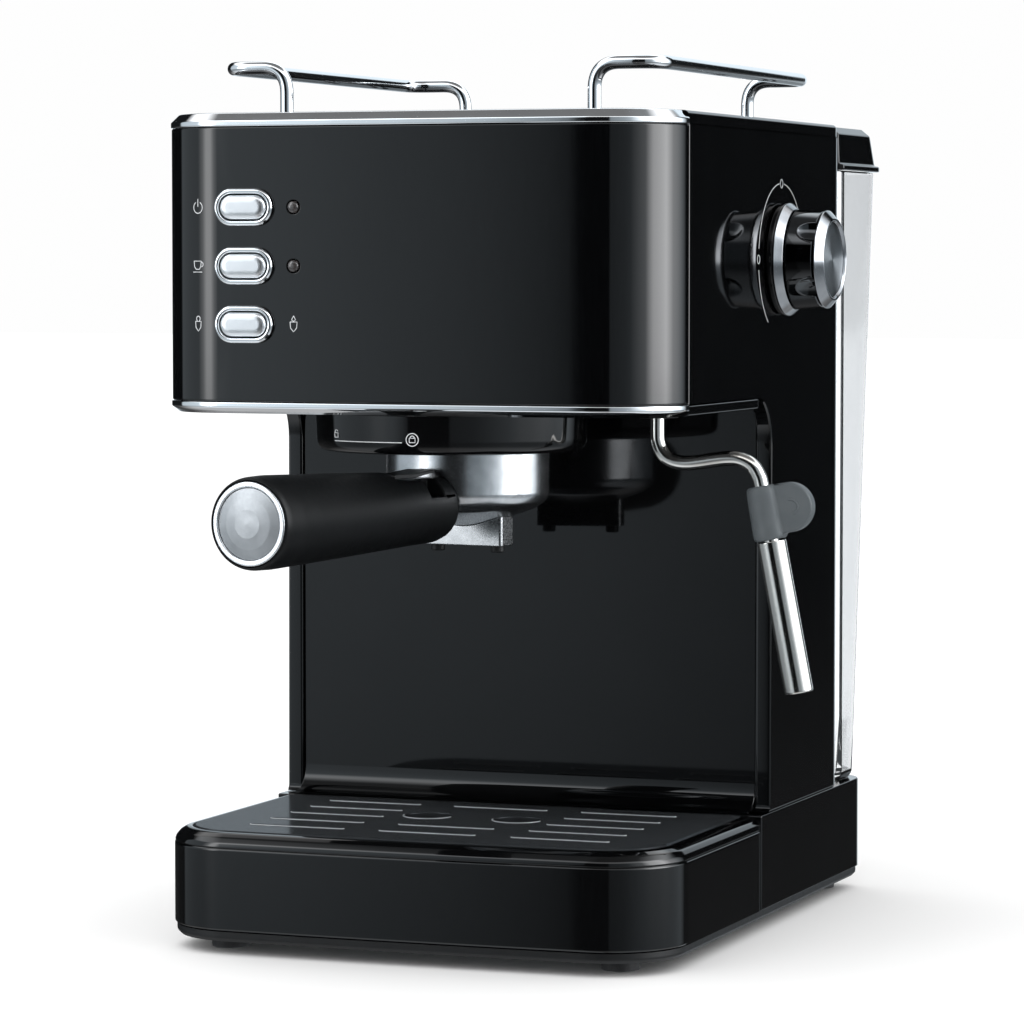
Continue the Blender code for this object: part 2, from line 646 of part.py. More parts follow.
def add_group(machine):
    """The brew group from the collar up: locking ring, gasket, shower screen and the boiler's two halves."""
    top = HEAD_BOTTOM - GAP
    wide, mouth = (circle(r, COLLAR_STEPS, (0, GROUP_Y)) for r in (0.0420, 0.0350))
    add("group_collar", loft([
        level(wide, top), level(collar_outline(0), top), level(collar_outline(0), 0.1890),
        level(collar_outline(0.0007), 0.1868), level(collar_outline(0.0027), 0.1854),
        level(collar_outline(0.0050), COLLAR_BOTTOM), level(mouth, COLLAR_BOTTOM),
        level(mouth, 0.1862), level(wide, 0.1862),
    ], True), "gloss_black", machine)
    ring = add("group_ring", turned((
        (0.0312, 0.1865), (0.0412, 0.1865), (0.0412, 0.2120), (0.0312, 0.2120), (0.0312, 0.1940),
        (0.0355, 0.1940), (0.0355, 0.1886), (0.0312, 0.1886),
    ), FINE_STEPS, True), "aluminium", machine, (0, GROUP_Y, 0))
    entry = prism(rounded_box(-0.0065, 0.0065, 0.028, 0.036, 0.001, 1), 0.180, 0.190)
    entries = [entry, shifted(entry, y=-0.064)]
    cut(ring, entries, "lug_entries", location=(0, GROUP_Y, 0), rotation=(0, 0, math.radians(-LUG_ENTRY_TURN)))
    gasket = ((0.0248, 0.1952), (0.0308, 0.1952), (0.0308, 0.2010), (0.0248, 0.2010))
    add("group_gasket", turned(gasket, ROUND_STEPS, True), "black_rubber", machine, (0, GROUP_Y, 0))
    screen = ((0.0225, 0.1935), (0.0236, 0.1940), (0.0236, 0.1960), (0.0060, 0.1965))
    add("shower_screen", turned(screen, ROUND_STEPS), "steel", machine, (0, GROUP_Y, 0))
    add("boiler_lower", turned(((0.0240, 0.1968), (0.0240, 0.2013), (0.0308, 0.2013), (0.0308, 0.2123),
                                (0.0440, 0.2123), (0.0440, 0.2180), (0.0400, 0.2200), (0.0400, 0.2300),
                                (0.0440, 0.2310), (0.0440, 0.2340)), ROUND_STEPS),
        "aluminium", machine, (0, GROUP_Y, 0))
    add("boiler_upper", turned(((0.0440, 0.2343), (0.0440, 0.2380), (0.0400, 0.2395), (0.0385, 0.2560),
                                (0.0300, 0.2620), (0.0120, 0.2630)), ROUND_STEPS),
        "aluminium", machine, (0, GROUP_Y, 0))


def add_portafilter(machine):
    """The filter holder in its locked place: its own -Y points along the handle."""
    axis = empty("portafilter_axis", machine, (0, GROUP_Y, 0), (0, 0, math.radians(-HANDLE_TURN)))
    inside = ((0.0040, 0.1590), (0.0120, 0.1615), (0.0250, 0.1665), (0.0270, 0.1690), (0.0270, 0.1935))
    profile = ((BOWL_RADIUS, 0.1935),) + BOWL_UNDERSIDE + inside
    bowl = add("portafilter_bowl", turned(profile, FINE_STEPS, True), "chrome", axis)
    lug = rounded_box(-0.0055, 0.0055, 0.0285, 0.0345, 0.001, 1)
    join(bowl, prism(lug, 0.1890, 0.1932), "rear_lug")
    join(bowl, prism([(-x, -y) for x, y in lug], 0.1890, 0.1932), "front_lug")
    neck = prism(rounded_box(-0.0070, 0.0070, 0.1600, 0.1690, 0.002, 2), 0.0270, 0.0440)
    join(bowl, moved(neck, towards_front()), "neck")
    add("filter_basket", turned((
        (0.0298, 0.1938), (0.0298, 0.1948), (0.0253, 0.1948), (0.0248, 0.1730), (0.0010, 0.1722),
        (0.0010, 0.1712), (0.0255, 0.1718), (0.0262, 0.1938),
    ), FINE_STEPS, True), "steel", axis)
    add_spouts(axis)
    add_handle(axis)


def add_spouts(axis):
    """A metal cover under the bowl, and the dark twin spout that pokes out below it."""
    low = SPOUT_BOTTOM
    length, depth = SPOUT_HALF_LENGTH, SPOUT_HALF_DEPTH
    block = prism(rounded_box(-length, length, -depth, depth, 0.0012), low, BOWL_UNDERSIDE[0][1])
    cover = add("spout_cover", block, "chrome", axis)
    dome = [(radius, height - GAP) for radius, height in BOWL_UNDERSIDE]
    cut(cover, turned([(0.0400, 0.1750), (0.0400, dome[0][1])] + dome), "dome_seat")
    wall = 0.0014
    pocket = rounded_box(-length + wall, length - wall, -depth + wall, depth - wall, 0.0010, 2)
    cut(cover, prism(pocket, 0.140, low + 0.0040), "hollow")
    cut(cover, prism(circle(0.0026, SMALL_STEPS), 0.140, 0.170), "drain")
    inner = wall + GAP
    bar = rounded_box(-length + inner, length - inner, -depth + inner, depth - inner, 0.0008, 2)
    spout = add("twin_spout", prism(bar, low + 0.0004, low + 0.0036), "matte_black", axis)
    nozzle = prism(circle(0.0026, SMALL_STEPS), low - 0.0026, low + 0.0020)
    bore = prism(circle(0.0016, SMALL_STEPS), 0.140, low + 0.0022)
    for label, x in (("left", -NOZZLE_X), ("right", NOZZLE_X)):
        join(spout, shifted(nozzle, x), label)
    cut(spout, [shifted(bore, x) for x in (-NOZZLE_X, NOZZLE_X)], "bores")
    cut(spout, prism(circle(0.0022, SMALL_STEPS), low + 0.0014, 0.170), "drain")


def add_handle(axis):
    """Grip, end cap and basket clip. Heights of the turned pieces run out from the brew axis.

    The grip's inner end is hollowed to fit round the bowl, and a socket in it takes the bowl's neck.
    """
    grip_axis = dict(location=(0, 0, HANDLE_Z), rotation=(math.radians(90), 0, 0))
    upright = dict(location=(0, 0, 0), rotation=(0, 0, 0))
    end = HANDLE_REACH
    handle = add("portafilter_handle", turned((
        (0.0118, 0.0255), (0.0132, 0.0290), (0.0136, 0.0480), (0.0142, 0.0650), (0.0152, 0.0950),
        (0.0161, 0.1250), (0.0165, end - 0.0120), (0.0164, end - 0.0034), (0.0159, end - 0.0016),
        (0.0153, end - 0.0012), (0.0151, end - 0.0020), (0.0151, end - 0.0040),
    ), FINE_STEPS), "matte_black", axis, **grip_axis)
    cut(handle, prism(circle(BOWL_RADIUS + 0.0007, COLLAR_STEPS), 0.140, 0.190), "bowl_seat", **upright)
    socket = prism(rounded_box(-0.0073, 0.0073, 0.1597, 0.1693, 0.002, 2), 0.0200, 0.0443)
    cut(handle, moved(socket, towards_front()), "neck_socket", **upright)
    seat = prism(rounded_box(-0.0080, 0.0080, -0.0640, -0.0200, 0.001, 1), 0.1755, 0.190)
    cut(handle, seat, "clip_seat", **upright)
    add("handle_end_cap", turned((
        (0.0148, end - 0.0037), (0.0148, end - 0.0014), (0.0145, end - 0.0010), (0.0126, end - 0.0010),
        (0.0122, end - 0.0016), (0.0100, end - 0.0006), (0.0060, end),
    ), FINE_STEPS), "chrome", axis, **grip_axis)
    hinge = empty("basket_clip_hinge", axis, (0, -0.0600, 0.1775))
    lever = [(-0.0022, -0.0014), (0.0120, -0.0014), (0.0260, 0.0002), (0.0262, 0.0014), (0.0120, 0.0004),
             (-0.0010, 0.0008), (-0.0022, 0.0002)]
    add("basket_clip", prism_x(lever, -0.0060, 0.0060), "steel", hinge)


# ---------------------------------------------------------------- steam wand

def wand_route():
    """Down out of the head, across to the side, and down again along the tilted sleeve."""
    points = [
        (0.0760, 0.2075), (0.0760, 0.2000), (0.0760, 0.1930), (0.0762, 0.1890), (0.0775, 0.1855),
        (0.0800, 0.1828), (0.0840, 0.1813), (0.0885, 0.1811), (0.0935, 0.1817), (0.0985, 0.1825),
        (0.1030, 0.1830), (0.1070, 0.1829), (0.1105, 0.1818), (0.1132, 0.1798), (0.1149, 0.1770),
    ]
    top = Vector(SLEEVE_TOP)
    down = Vector((math.sin(math.radians(WAND_TILT)), -math.cos(math.radians(WAND_TILT))))
    points += [tuple(top + down * s) for s in (-0.0215, -0.010, 0.015, 0.0470)]
    return [(x, WAND_Y, z) for x, z in points]


def add_wand(machine):
    swivel = empty("wand_swivel_axis", machine, (WAND_X, WAND_Y, 0))
    inner = empty("wand_parts", swivel, (-WAND_X, -WAND_Y, 0))
    tube("steam_wand", wand_route(), WAND_RADIUS, "chrome", inner)
    tilt = dict(location=(SLEEVE_TOP[0], WAND_Y, SLEEVE_TOP[1]), rotation=(0, math.radians(-WAND_TILT), 0))
    nut = ((0.0031, 0.1975), (0.0078, 0.1975), (0.0078, 0.2050), (0.0031, 0.2050))
    add("wand_nut", turned(nut, SMALL_STEPS, True), "matte_black", machine, (WAND_X, WAND_Y, 0))
    grip = add("wand_grip", turned((
        (0.0031, 0.0006), (0.0058, 0.0006), (0.0063, 0.0020), (0.0060, 0.0185), (0.0050, 0.0205),
        (0.0031, 0.0205),
    ), SMALL_STEPS, True), "grey_rubber", inner, **tilt)
    ear = moved(prism(circle(0.0093), -0.0030, 0.0030), towards_front())
    join(grip, shifted(ear, 0.0092, 0, 0.0112), "ear")
    cut(grip, prism(circle(0.0031, SMALL_STEPS), -0.010, 0.040), "bore")
    slide = empty("froth_sleeve_axis", inner, **tilt)
    add("froth_sleeve", turned((
        (0.0031, 0.0), (0.0053, 0.0), (0.0053, -0.0535), (0.0047, -0.0555), (0.0034, -SLEEVE_LENGTH),
        (0.0031, -SLEEVE_LENGTH),
    ), SMALL_STEPS, True), "steel", slide)


# ---------------------------------------------------------------- water side

def add_tank(machine):
    """An open-topped tank that tapers to its foot at the back, with a valve in its floor."""
    lift = empty("tank_lift", machine)

    def section(inset, z, rear):
        return level(rounded_box(
            -TANK_HALF + inset, TANK_HALF - inset, TANK_FRONT + inset, rear - inset, TANK_RADIUS - inset), z)

    low = SHELL_BOTTOM
    middle = TANK_REAR_LOW + 0.0030
    wall = 0.0022
    waist = 0.0690
    tank = add("water_tank", loft([
        section(0.0012, low, TANK_REAR_LOW), section(0, low + 0.0020, TANK_REAR_LOW + 0.0005),
        section(0, waist, middle), section(0, TANK_TOP, TANK_REAR),
        section(wall, TANK_TOP, TANK_REAR), section(wall, waist + 0.0010, middle),
        section(wall + 0.0015, low + 0.0030, TANK_REAR_LOW + 0.0010),
    ]), "clear_plastic", lift)
    cut(tank, shifted(prism(circle(0.0062, SMALL_STEPS), 0.040, 0.055), 0, VALVE_Y), "outlet")
    add("tank_valve", turned((
        (0.0030, 0.0400), (0.0056, 0.0400), (0.0056, 0.0488), (0.0080, 0.0488), (0.0080, 0.0505),
        (0.0030, 0.0505),
    ), SMALL_STEPS, True), "silicone", lift, (0, VALVE_Y, 0))
    add_tank_lid(lift)


def add_tank_lid(lift):
    hinge = empty("tank_lid_hinge", lift, (0, *LID_HINGE))
    inner = empty("tank_lid_parts", hinge, (0, -LID_HINGE[0], -LID_HINGE[1]))

    def section(inset, z, lean=0.0):
        front = TANK_FRONT + max(inset, 0.0)
        rear = LID_REAR - inset - lean
        return level(rounded_box(-TANK_HALF + inset, TANK_HALF - inset, front, rear, 0.010 - inset), z)

    seat = TANK_TOP + GAP
    lid = add("tank_lid", loft([
        section(0.0022, 0.3060, 0.0060), section(0.0022, seat), section(-0.0020, seat),
        section(-0.0020, seat + 0.0024), section(0, seat + 0.0026), section(0.0006, 0.3058, 0.0050),
        section(0.0034, 0.3085, 0.0070),
    ]), "gloss_black", inner)
    lip = rounded_box(-0.040, 0.040, 0.2880, LID_LIP_REAR, 0.0035, 3)
    join(lid, prism(lip, seat, seat + 0.0024), "finger_lip")


def add_water_circuit(machine):
    """Pump, its coil and bracket, and the hoses and pipes inside the column and the head."""
    hub = circle(PUMP_COLLAR_RADIUS)
    spot = (0, PUMP_Y, 0)
    add("pump_body", turned((
        (0.0040, 0.0620), (0.0040, 0.0700), (0.0120, 0.0705), (0.0120, 0.1290), (0.0060, 0.1300),
        (0.0060, 0.1400),
    ), ROUND_STEPS), "matte_black", machine, spot)
    coil = add("pump_coil", prism(rounded_box(-0.0200, 0.0200, -0.0180, 0.0180, 0.003), 0.0830, 0.1180),
               "copper_coil", machine, spot)
    cut(coil, prism(hub, 0.080, 0.120), "core_bore")
    bracket = add("pump_bracket", prism(rounded_box(-0.0300, 0.0300, -0.0200, 0.0200, 0.003), 0.0740, 0.0770),
                  "steel", machine, spot)
    cut(bracket, prism(hub, 0.070, 0.080), "body_hole")
    tube("suction_hose", rounded_path([
        (0, VALVE_Y, 0.0395), (0, VALVE_Y, 0.0240), (0, PUMP_Y, 0.0240), (0, PUMP_Y, 0.0615)], 0.012),
        0.0035, "silicone", machine)
    tube("pressure_hose", rounded_path([
        (0, PUMP_Y, 0.1405), (0, PUMP_Y, 0.2450), (0, 0.1092, 0.2450)], 0.015), 0.0025, "silicone", machine)
    tube("steam_pipe", rounded_path([
        (0.0250, GROUP_Y, 0.2655), (0.0250, GROUP_Y, 0.2780), (0.0500, KNOB_Y, 0.2780),
        (0.0700, KNOB_Y, 0.2780), (0.0700, KNOB_Y, KNOB_Z + 0.0114)], 0.009), 0.0020, "steel", machine)
    tube("wand_feed_pipe", rounded_path([
        (0.0700, KNOB_Y, KNOB_Z - 0.0114), (0.0700, KNOB_Y, 0.2250), (WAND_X, WAND_Y, 0.2250),
        (WAND_X, WAND_Y, 0.2080)], 0.010), 0.0025, "steel", machine)


def main():
    for obj in list(bpy.data.objects):
        bpy.data.objects.remove(obj)
    machine = empty("machine_origin", None, -MIDDLE)
    add_feet(machine)
    add_base_plate(machine)
    add_rear_base(machine)
    add_drip_tray(machine)
    add_body_shell(machine)
    add_splash_panel(machine)
    add_front_panel(machine)
    add_trims(machine)
    add_head_floor(machine)
    add_top_cover(machine)
    add_cup_rails(machine)
    add_buttons(machine)
    add_lamps(machine)
    add_control_board(machine)
    add_steam_knob(machine)
    add_group(machine)
    add_portafilter(machine)
    add_wand(machine)
    add_tank(machine)
    add_water_circuit(machine)


main()
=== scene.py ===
"""The look of a home espresso machine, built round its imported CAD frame. Metres, +Z up.

Shapes are laid out in machine coordinates, as in the CAD: X = 0 is the plane of symmetry, Y = 0 the front
panel and Z = 0 the worktop. ORIGIN, which is read from the frame, takes them to the frame's coordinates.
"""
import json
import math

import bmesh
import bpy
from mathutils import Matrix, Vector


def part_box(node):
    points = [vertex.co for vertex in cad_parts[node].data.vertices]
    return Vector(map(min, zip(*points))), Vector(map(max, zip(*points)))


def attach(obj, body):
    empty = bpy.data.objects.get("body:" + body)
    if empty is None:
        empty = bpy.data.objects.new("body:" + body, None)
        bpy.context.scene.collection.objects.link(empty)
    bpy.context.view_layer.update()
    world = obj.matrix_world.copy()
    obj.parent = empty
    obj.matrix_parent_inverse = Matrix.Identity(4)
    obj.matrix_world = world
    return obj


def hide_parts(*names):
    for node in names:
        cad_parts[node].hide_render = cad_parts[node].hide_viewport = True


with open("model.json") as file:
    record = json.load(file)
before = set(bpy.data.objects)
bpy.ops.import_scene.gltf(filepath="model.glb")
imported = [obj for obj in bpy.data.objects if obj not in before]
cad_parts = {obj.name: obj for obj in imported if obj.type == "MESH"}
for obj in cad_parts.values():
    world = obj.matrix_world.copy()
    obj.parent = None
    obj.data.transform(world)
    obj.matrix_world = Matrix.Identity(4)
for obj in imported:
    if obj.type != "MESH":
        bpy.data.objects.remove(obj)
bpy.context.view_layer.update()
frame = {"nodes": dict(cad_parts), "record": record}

# Driving dimensions, the same as the CAD's
FRONT_RADIUS = 0.030
FRONT_BOW = 0.0012
GAP = 0.0003
ROUND_STEPS = 120

panel_low, panel_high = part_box("front_panel")
ORIGIN = Vector(((panel_low.x + panel_high.x) / 2, panel_low.y + FRONT_BOW, 0))
HALF_WIDTH = (panel_high.x - panel_low.x) / 2
BOW_TURN = 2 * math.degrees(math.atan(FRONT_BOW / (HALF_WIDTH - FRONT_RADIUS)))
BOW_RADIUS = (HALF_WIDTH - FRONT_RADIUS) / math.sin(math.radians(BOW_TURN)) + FRONT_RADIUS


def low(node):
    """The node's lowest corner, in machine coordinates."""
    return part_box(node)[0] - ORIGIN


def high(node):
    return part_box(node)[1] - ORIGIN


def middle(node):
    return (low(node) + high(node)) / 2


HEAD_REAR = high("body_shell").y
HEAD_REAR_RADIUS = 0.013
BASE_REAR = high("rear_base").y
BASE_REAR_RADIUS = 0.012
TRAY_REAR = high("drip_tray").y
HOUSING_FRONT = low("rear_base").y
DECK_PLATE_BOTTOM = low("base_plate").z
BASE_BOTTOM = low("rear_base").z
FASCIA_TOP = high("tray_fascia").z
DECK = high("rear_base").z
SHELL_BOTTOM = low("body_shell").z
HEAD_BOTTOM = low("bottom_trim").z
FLOOR_TOP = high("head_floor").z
PANEL_TOP = high("front_panel").z
HEAD_TOP = high("top_cover").z
LEDGE_END = 0.1137
COLUMN_FRONT = 0.1300
PILLAR = 0.006
CORBEL_RADIUS = 0.018
COVE_RADIUS = 0.010
PILLAR_COVE_RADIUS = 0.0025
WRAP_THICKNESS = 0.0015
WALL = 0.0025

GROUP_Y = middle("group_ring").y
COLLAR_Y = 0.053
COLLAR_RADIUS = 0.0505
COLLAR_BACK_Y = 0.072
COLLAR_BACK_RADIUS = 0.0425
COLLAR_BOTTOM = low("group_collar").z
COLLAR_STEPS = 144
HANDLE_TURN = 9.0
HANDLE_Z = 0.1645
HANDLE_REACH = 0.1510
BOWL_RADIUS = 0.0305
SPOUT_BOTTOM = 0.1490
SPOUT_HALF_LENGTH = 0.0172
SPOUT_HALF_DEPTH = 0.0048
NOZZLE_X = 0.0129

BUTTONS = ("power", "brew", "steam")
BUTTON_X = middle("power_button").x
BUTTON_Z = [middle(name + "_button").z for name in BUTTONS]
LAMP_X = middle("power_lamp").x

KNOB_Y = middle("knob_body").y
KNOB_Z = middle("knob_body").z
WAND_X = middle("wand_nut").x
WAND_Y = middle("wand_nut").y
WAND_RADIUS = 0.00275
WAND_TILT = 11.0
SLEEVE_TOP = (0.1200, 0.1530)
SLEEVE_LENGTH = 0.0560

RAIL_RADIUS = 0.0025
RAIL_POST_X = 0.0606
RAIL_RUN_X = high("cup_rail_right").x - RAIL_RADIUS
RAIL_FRONT = low("cup_rail_right").y + RAIL_RADIUS
RAIL_BACK = high("cup_rail_right").y - RAIL_RADIUS
RAIL_HEIGHT = high("cup_rail_right").z - RAIL_RADIUS

TANK_FRONT = low("water_tank").y
TANK_REAR = high("water_tank").y
TANK_REAR_LOW = 0.2575
TANK_RADIUS = 0.008
TANK_TOP = high("water_tank").z
TANK_HALF = high("water_tank").x
LID_REAR = 0.2890
LID_LIP_REAR = high("tank_lid").y
VALVE_Y = middle("tank_valve").y
PUMP_Y = middle("pump_body").y

BODY_OF = {node: body for body, nodes in frame["record"]["behaviour"]["bodies"].items() for node in nodes}


# ---------------------------------------------------------------- camera, light and floor

def add_camera():
    """Level with the head, to the right of the front, looking slightly down."""
    data = bpy.data.cameras.new("camera")
    data.sensor_width = 36.0
    data.lens = 152.2
    camera = bpy.data.objects.new("camera", data)
    camera.location = Vector((0.5880, -1.4401, 0.2555)) + ORIGIN
    camera.rotation_euler = (math.radians(90 - 3.335), 0, math.radians(20.7))
    bpy.context.scene.collection.objects.link(camera)
    bpy.context.scene.camera = camera


def studio_ramp(tree, angle, stops, peak):
    """Brightness along an angle in radians, from (degrees, brightness) stops between -180 and 180."""
    place = tree.nodes.new("ShaderNodeMath")
    place.operation = "MULTIPLY_ADD"
    place.inputs[1].default_value = 1 / (2 * math.pi)
    place.inputs[2].default_value = 0.5
    tree.links.new(angle, place.inputs[0])
    ramp = tree.nodes.new("ShaderNodeValToRGB")
    elements = ramp.color_ramp.elements
    while len(elements) < len(stops):
        elements.new(0.5)
    for element, (degrees, brightness) in zip(elements, stops):
        element.position = (degrees + 180) / 360
        element.color = (*[brightness / peak] * 3, 1)
    tree.links.new(place.outputs[0], ramp.inputs[0])
    return scaled(tree, ramp.outputs["Color"], peak)


def scaled(tree, value, factor, operation="MULTIPLY"):
    node = tree.nodes.new("ShaderNodeMath")
    node.operation = operation
    tree.links.new(value, node.inputs[0])
    if isinstance(factor, (int, float)):
        node.inputs[1].default_value = factor
    else:
        tree.links.new(factor, node.inputs[1])
    return node.outputs[0]


# Azimuth in degrees, 0 to the front and 90 to the machine's right, and the brightness seen in reflections
SURROUND = (
    (-180, 1.00), (-153, 1.00), (-150, 0.01), (-99, 0.01), (-96, 0.60), (-60, 0.75), (-30, 1.05),
    (-26, 0.90), (-23, 0.70), (-20.5, 0.58), (-17.5, 0.35), (-16.7, 0.28), (-16.2, 0.006), (19, 0.006),
    (20, 0.26), (40, 0.36), (70, 0.80), (138, 0.85), (150, 0.012), (166, 0.012), (170, 1.00), (180, 1.00),
)
SOFTBOXES = (
    (-180, 0.0), (-60, 0.0), (-52, 1.5), (-46, 4.6), (-39, 4.6), (-34, 1.4), (-29, 0.0), (48, 0.0),
    (70, 0.9), (82, 6.0), (104, 8.0), (118, 2.6), (138, 0.2), (150, 0.0), (180, 0.0),
)
# Elevation in degrees and the share of each that is left there
SURROUND_HEIGHT = (
    (-90, 0.50), (-30, 0.45), (-12, 0.36), (-8.6, 0.52), (-3.5, 0.95), (0, 1.00), (45, 1.00), (56, 0.45),
    (64, 0.10), (80, 0.0), (180, 0.0),
)
SOFTBOX_HEIGHT = (
    (-90, 0.0), (-10, 0.0), (-5, 0.06), (-3.5, 0.20), (-2.2, 0.75), (-1, 1.00), (38, 0.90), (52, 0.0),
    (180, 0.0),
)
# The same all round: the pale floor below, and a softer light above
FLOOR_AND_CEILING = (
    (-90, 0.48), (-40, 0.48), (-22, 0.06), (-8, 0.03), (-4, 0.0), (34, 0.0), (42, 1.5), (52, 1.5),
    (62, 0.18),
    (90, 0.18), (180, 0.18),
)
DIFFUSE_LIGHT = 1.30
BACKDROP = 0.99


def add_studio():
    """White surroundings. Mirror reflections see soft boxes at each side and dark flags between them."""
    world = bpy.data.worlds.new("studio")
    bpy.context.scene.world = world
    world.use_nodes = True
    world.cycles.sampling_method = "NONE"
    tree = world.node_tree
    tree.nodes.clear()
    direction = tree.nodes.new("ShaderNodeSeparateXYZ")
    tree.links.new(tree.nodes.new("ShaderNodeTexCoord").outputs["Generated"], direction.inputs[0])
    toward_front = scaled(tree, direction.outputs["Y"], -1.0)
    azimuth = scaled(tree, direction.outputs["X"], toward_front, "ARCTAN2")
    elevation = scaled(tree, direction.outputs["Z"], 0.0, "ARCSINE")
    surround = scaled(tree, studio_ramp(tree, azimuth, SURROUND, 1.1),
                      studio_ramp(tree, elevation, SURROUND_HEIGHT, 1.0))
    boxes = scaled(tree, studio_ramp(tree, azimuth, SOFTBOXES, 8.0),
                   studio_ramp(tree, elevation, SOFTBOX_HEIGHT, 1.0))
    bright = scaled(tree, boxes, studio_ramp(tree, elevation, FLOOR_AND_CEILING, 4.0), "ADD")
    light = mixed(tree, surround, (0.0, 0.0, 0.0), (0.87, 0.98, 1.06))
    light = mixed(tree, bright, light, (0.99, 0.99, 1.0), "ADD")
    path = tree.nodes.new("ShaderNodeLightPath")
    through = path.outputs["Is Transmission Ray"]
    opaque = scaled(tree, scaled(tree, through, -1.0), 1.0, "ADD")
    unreflected = scaled(tree, path.outputs["Is Camera Ray"], through, "MAXIMUM")
    seen = mixed(tree, scaled(tree, path.outputs["Is Glossy Ray"], opaque), [DIFFUSE_LIGHT] * 3, light)
    seen = mixed(tree, unreflected, seen, [BACKDROP] * 3)
    background = tree.nodes.new("ShaderNodeBackground")
    tree.links.new(seen, background.inputs["Color"])
    output = tree.nodes.new("ShaderNodeOutputWorld")
    tree.links.new(background.outputs[0], output.inputs["Surface"])
    bpy.context.scene.view_settings.view_transform = "Standard"


def mixed(tree, factor, first, second, blend="MIX"):
    """The colour between two, each a socket or a constant."""
    mix = tree.nodes.new("ShaderNodeMix")
    mix.data_type = "RGBA"
    mix.blend_type = blend
    mix.clamp_factor = False
    tree.links.new(factor, mix.inputs["Factor"])
    for name, colour in (("A", first), ("B", second)):
        if isinstance(colour, bpy.types.NodeSocket):
            tree.links.new(colour, mix.inputs[name])
        else:
            mix.inputs[name].default_value = (*colour, 1)
    return mix.outputs["Result"]


def add_softlight(name, location, size, power):
    data = bpy.data.lights.new(name, "AREA")
    data.size = size
    data.energy = power
    light = bpy.data.objects.new(name, data)
    light.location = location
    light.rotation_euler = (Vector(location) - Vector((0, 0, 0.15))).to_track_quat("Z", "Y").to_euler()
    light.visible_glossy = False
    light.visible_camera = False
    bpy.context.scene.collection.objects.link(light)


def add_floor():
    half = 12.0
    mesh = bpy.data.meshes.new("floor")
    mesh.from_pydata([(-half, -half, 0), (half, -half, 0), (half, half, 0), (-half, half, 0)], [],
                     [(0, 1, 2, 3)])
    floor = bpy.data.objects.new("floor", mesh)
    floor.visible_glossy = False
    material = bpy.data.materials.new("pale_floor")
    material.use_nodes = True
    shader = material.node_tree.nodes["Principled BSDF"]
    shader.inputs["Base Color"].default_value = (0.93, 0.93, 0.93, 1)
    shader.inputs["Roughness"].default_value = 0.9
    shader.inputs["Specular IOR Level"].default_value = 0.0
    mesh.materials.append(material)
    bpy.context.scene.collection.objects.link(floor)


# ---------------------------------------------------------------- materials

class Finish:
    """A node material under construction. Sizes are in metres."""

    def __init__(self, name, metallic=0.0, roughness=0.5, **sockets):
        self.material = bpy.data.materials.new(name)
        self.material.use_nodes = True
        self.tree = self.material.node_tree
        self.shader = self.tree.nodes["Principled BSDF"]
        self.shader.inputs["Metallic"].default_value = metallic
        self.shader.inputs["Roughness"].default_value = roughness
        for socket, value in sockets.items():
            self.shader.inputs[socket.replace("_", " ")].default_value = value
        self.place = self.tree.nodes.new("ShaderNodeTexCoord").outputs["Object"]

    def noise(self, size, detail=2.0, stretch=(1, 1, 1)):
        mapping = self.tree.nodes.new("ShaderNodeMapping")
        mapping.inputs["Scale"].default_value = stretch
        self.tree.links.new(self.place, mapping.inputs["Vector"])
        noise = self.tree.nodes.new("ShaderNodeTexNoise")
        noise.inputs["Scale"].default_value = 1 / size
        noise.inputs["Detail"].default_value = detail
        self.tree.links.new(mapping.outputs[0], noise.inputs["Vector"])
        return noise.outputs["Fac"]

    def rings(self, centre, axis, pitch):
        """Noise that depends only on the distance from an axis along X or Z: turning marks."""
        mapping = self.tree.nodes.new("ShaderNodeMapping")
        mapping.inputs["Location"].default_value = -centre
        keep = [0.0 if axis == letter else 1.0 for letter in "XYZ"]
        self.tree.links.new(self.place, mapping.inputs["Vector"])
        flat = self.tree.nodes.new("ShaderNodeVectorMath")
        flat.operation = "MULTIPLY"
        flat.inputs[1].default_value = keep
        self.tree.links.new(mapping.outputs[0], flat.inputs[0])
        distance = self.tree.nodes.new("ShaderNodeVectorMath")
        distance.operation = "LENGTH"
        self.tree.links.new(flat.outputs[0], distance.inputs[0])
        noise = self.tree.nodes.new("ShaderNodeTexNoise")
        noise.noise_dimensions = "1D"
        noise.inputs["Scale"].default_value = 1 / pitch
        noise.inputs["Detail"].default_value = 3.0
        self.tree.links.new(distance.outputs["Value"], noise.inputs["W"])
        return noise.outputs["Fac"]

    def range(self, value, start, end, low_end, high_end):
        node = self.tree.nodes.new("ShaderNodeMapRange")
        for socket, number in zip(("From Min", "From Max", "To Min", "To Max"),
                                  (start, end, low_end, high_end)):
            node.inputs[socket].default_value = number
        self.tree.links.new(value, node.inputs["Value"])
        return node.outputs["Result"]

    def roughness(self, value, smoothest, roughest):
        self.tree.links.new(self.range(value, 0.3, 0.7, smoothest, roughest),
                            self.shader.inputs["Roughness"])
        return self

    def colour(self, value, first, second):
        mix = self.tree.nodes.new("ShaderNodeMix")
        mix.data_type = "RGBA"
        mix.inputs["A"].default_value = (*first, 1)
        mix.inputs["B"].default_value = (*second, 1)
        self.tree.links.new(self.range(value, 0.3, 0.7, 0.0, 1.0), mix.inputs["Factor"])
        self.tree.links.new(mix.outputs["Result"], self.shader.inputs["Base Color"])
        return self

    def relief(self, value, depth, strength=1.0):
        bump = self.tree.nodes.new("ShaderNodeBump")
        bump.inputs["Distance"].default_value = depth
        bump.inputs["Strength"].default_value = strength
        self.tree.links.new(value, bump.inputs["Height"])
        self.tree.links.new(bump.outputs[0], self.shader.inputs["Normal"])
        return self


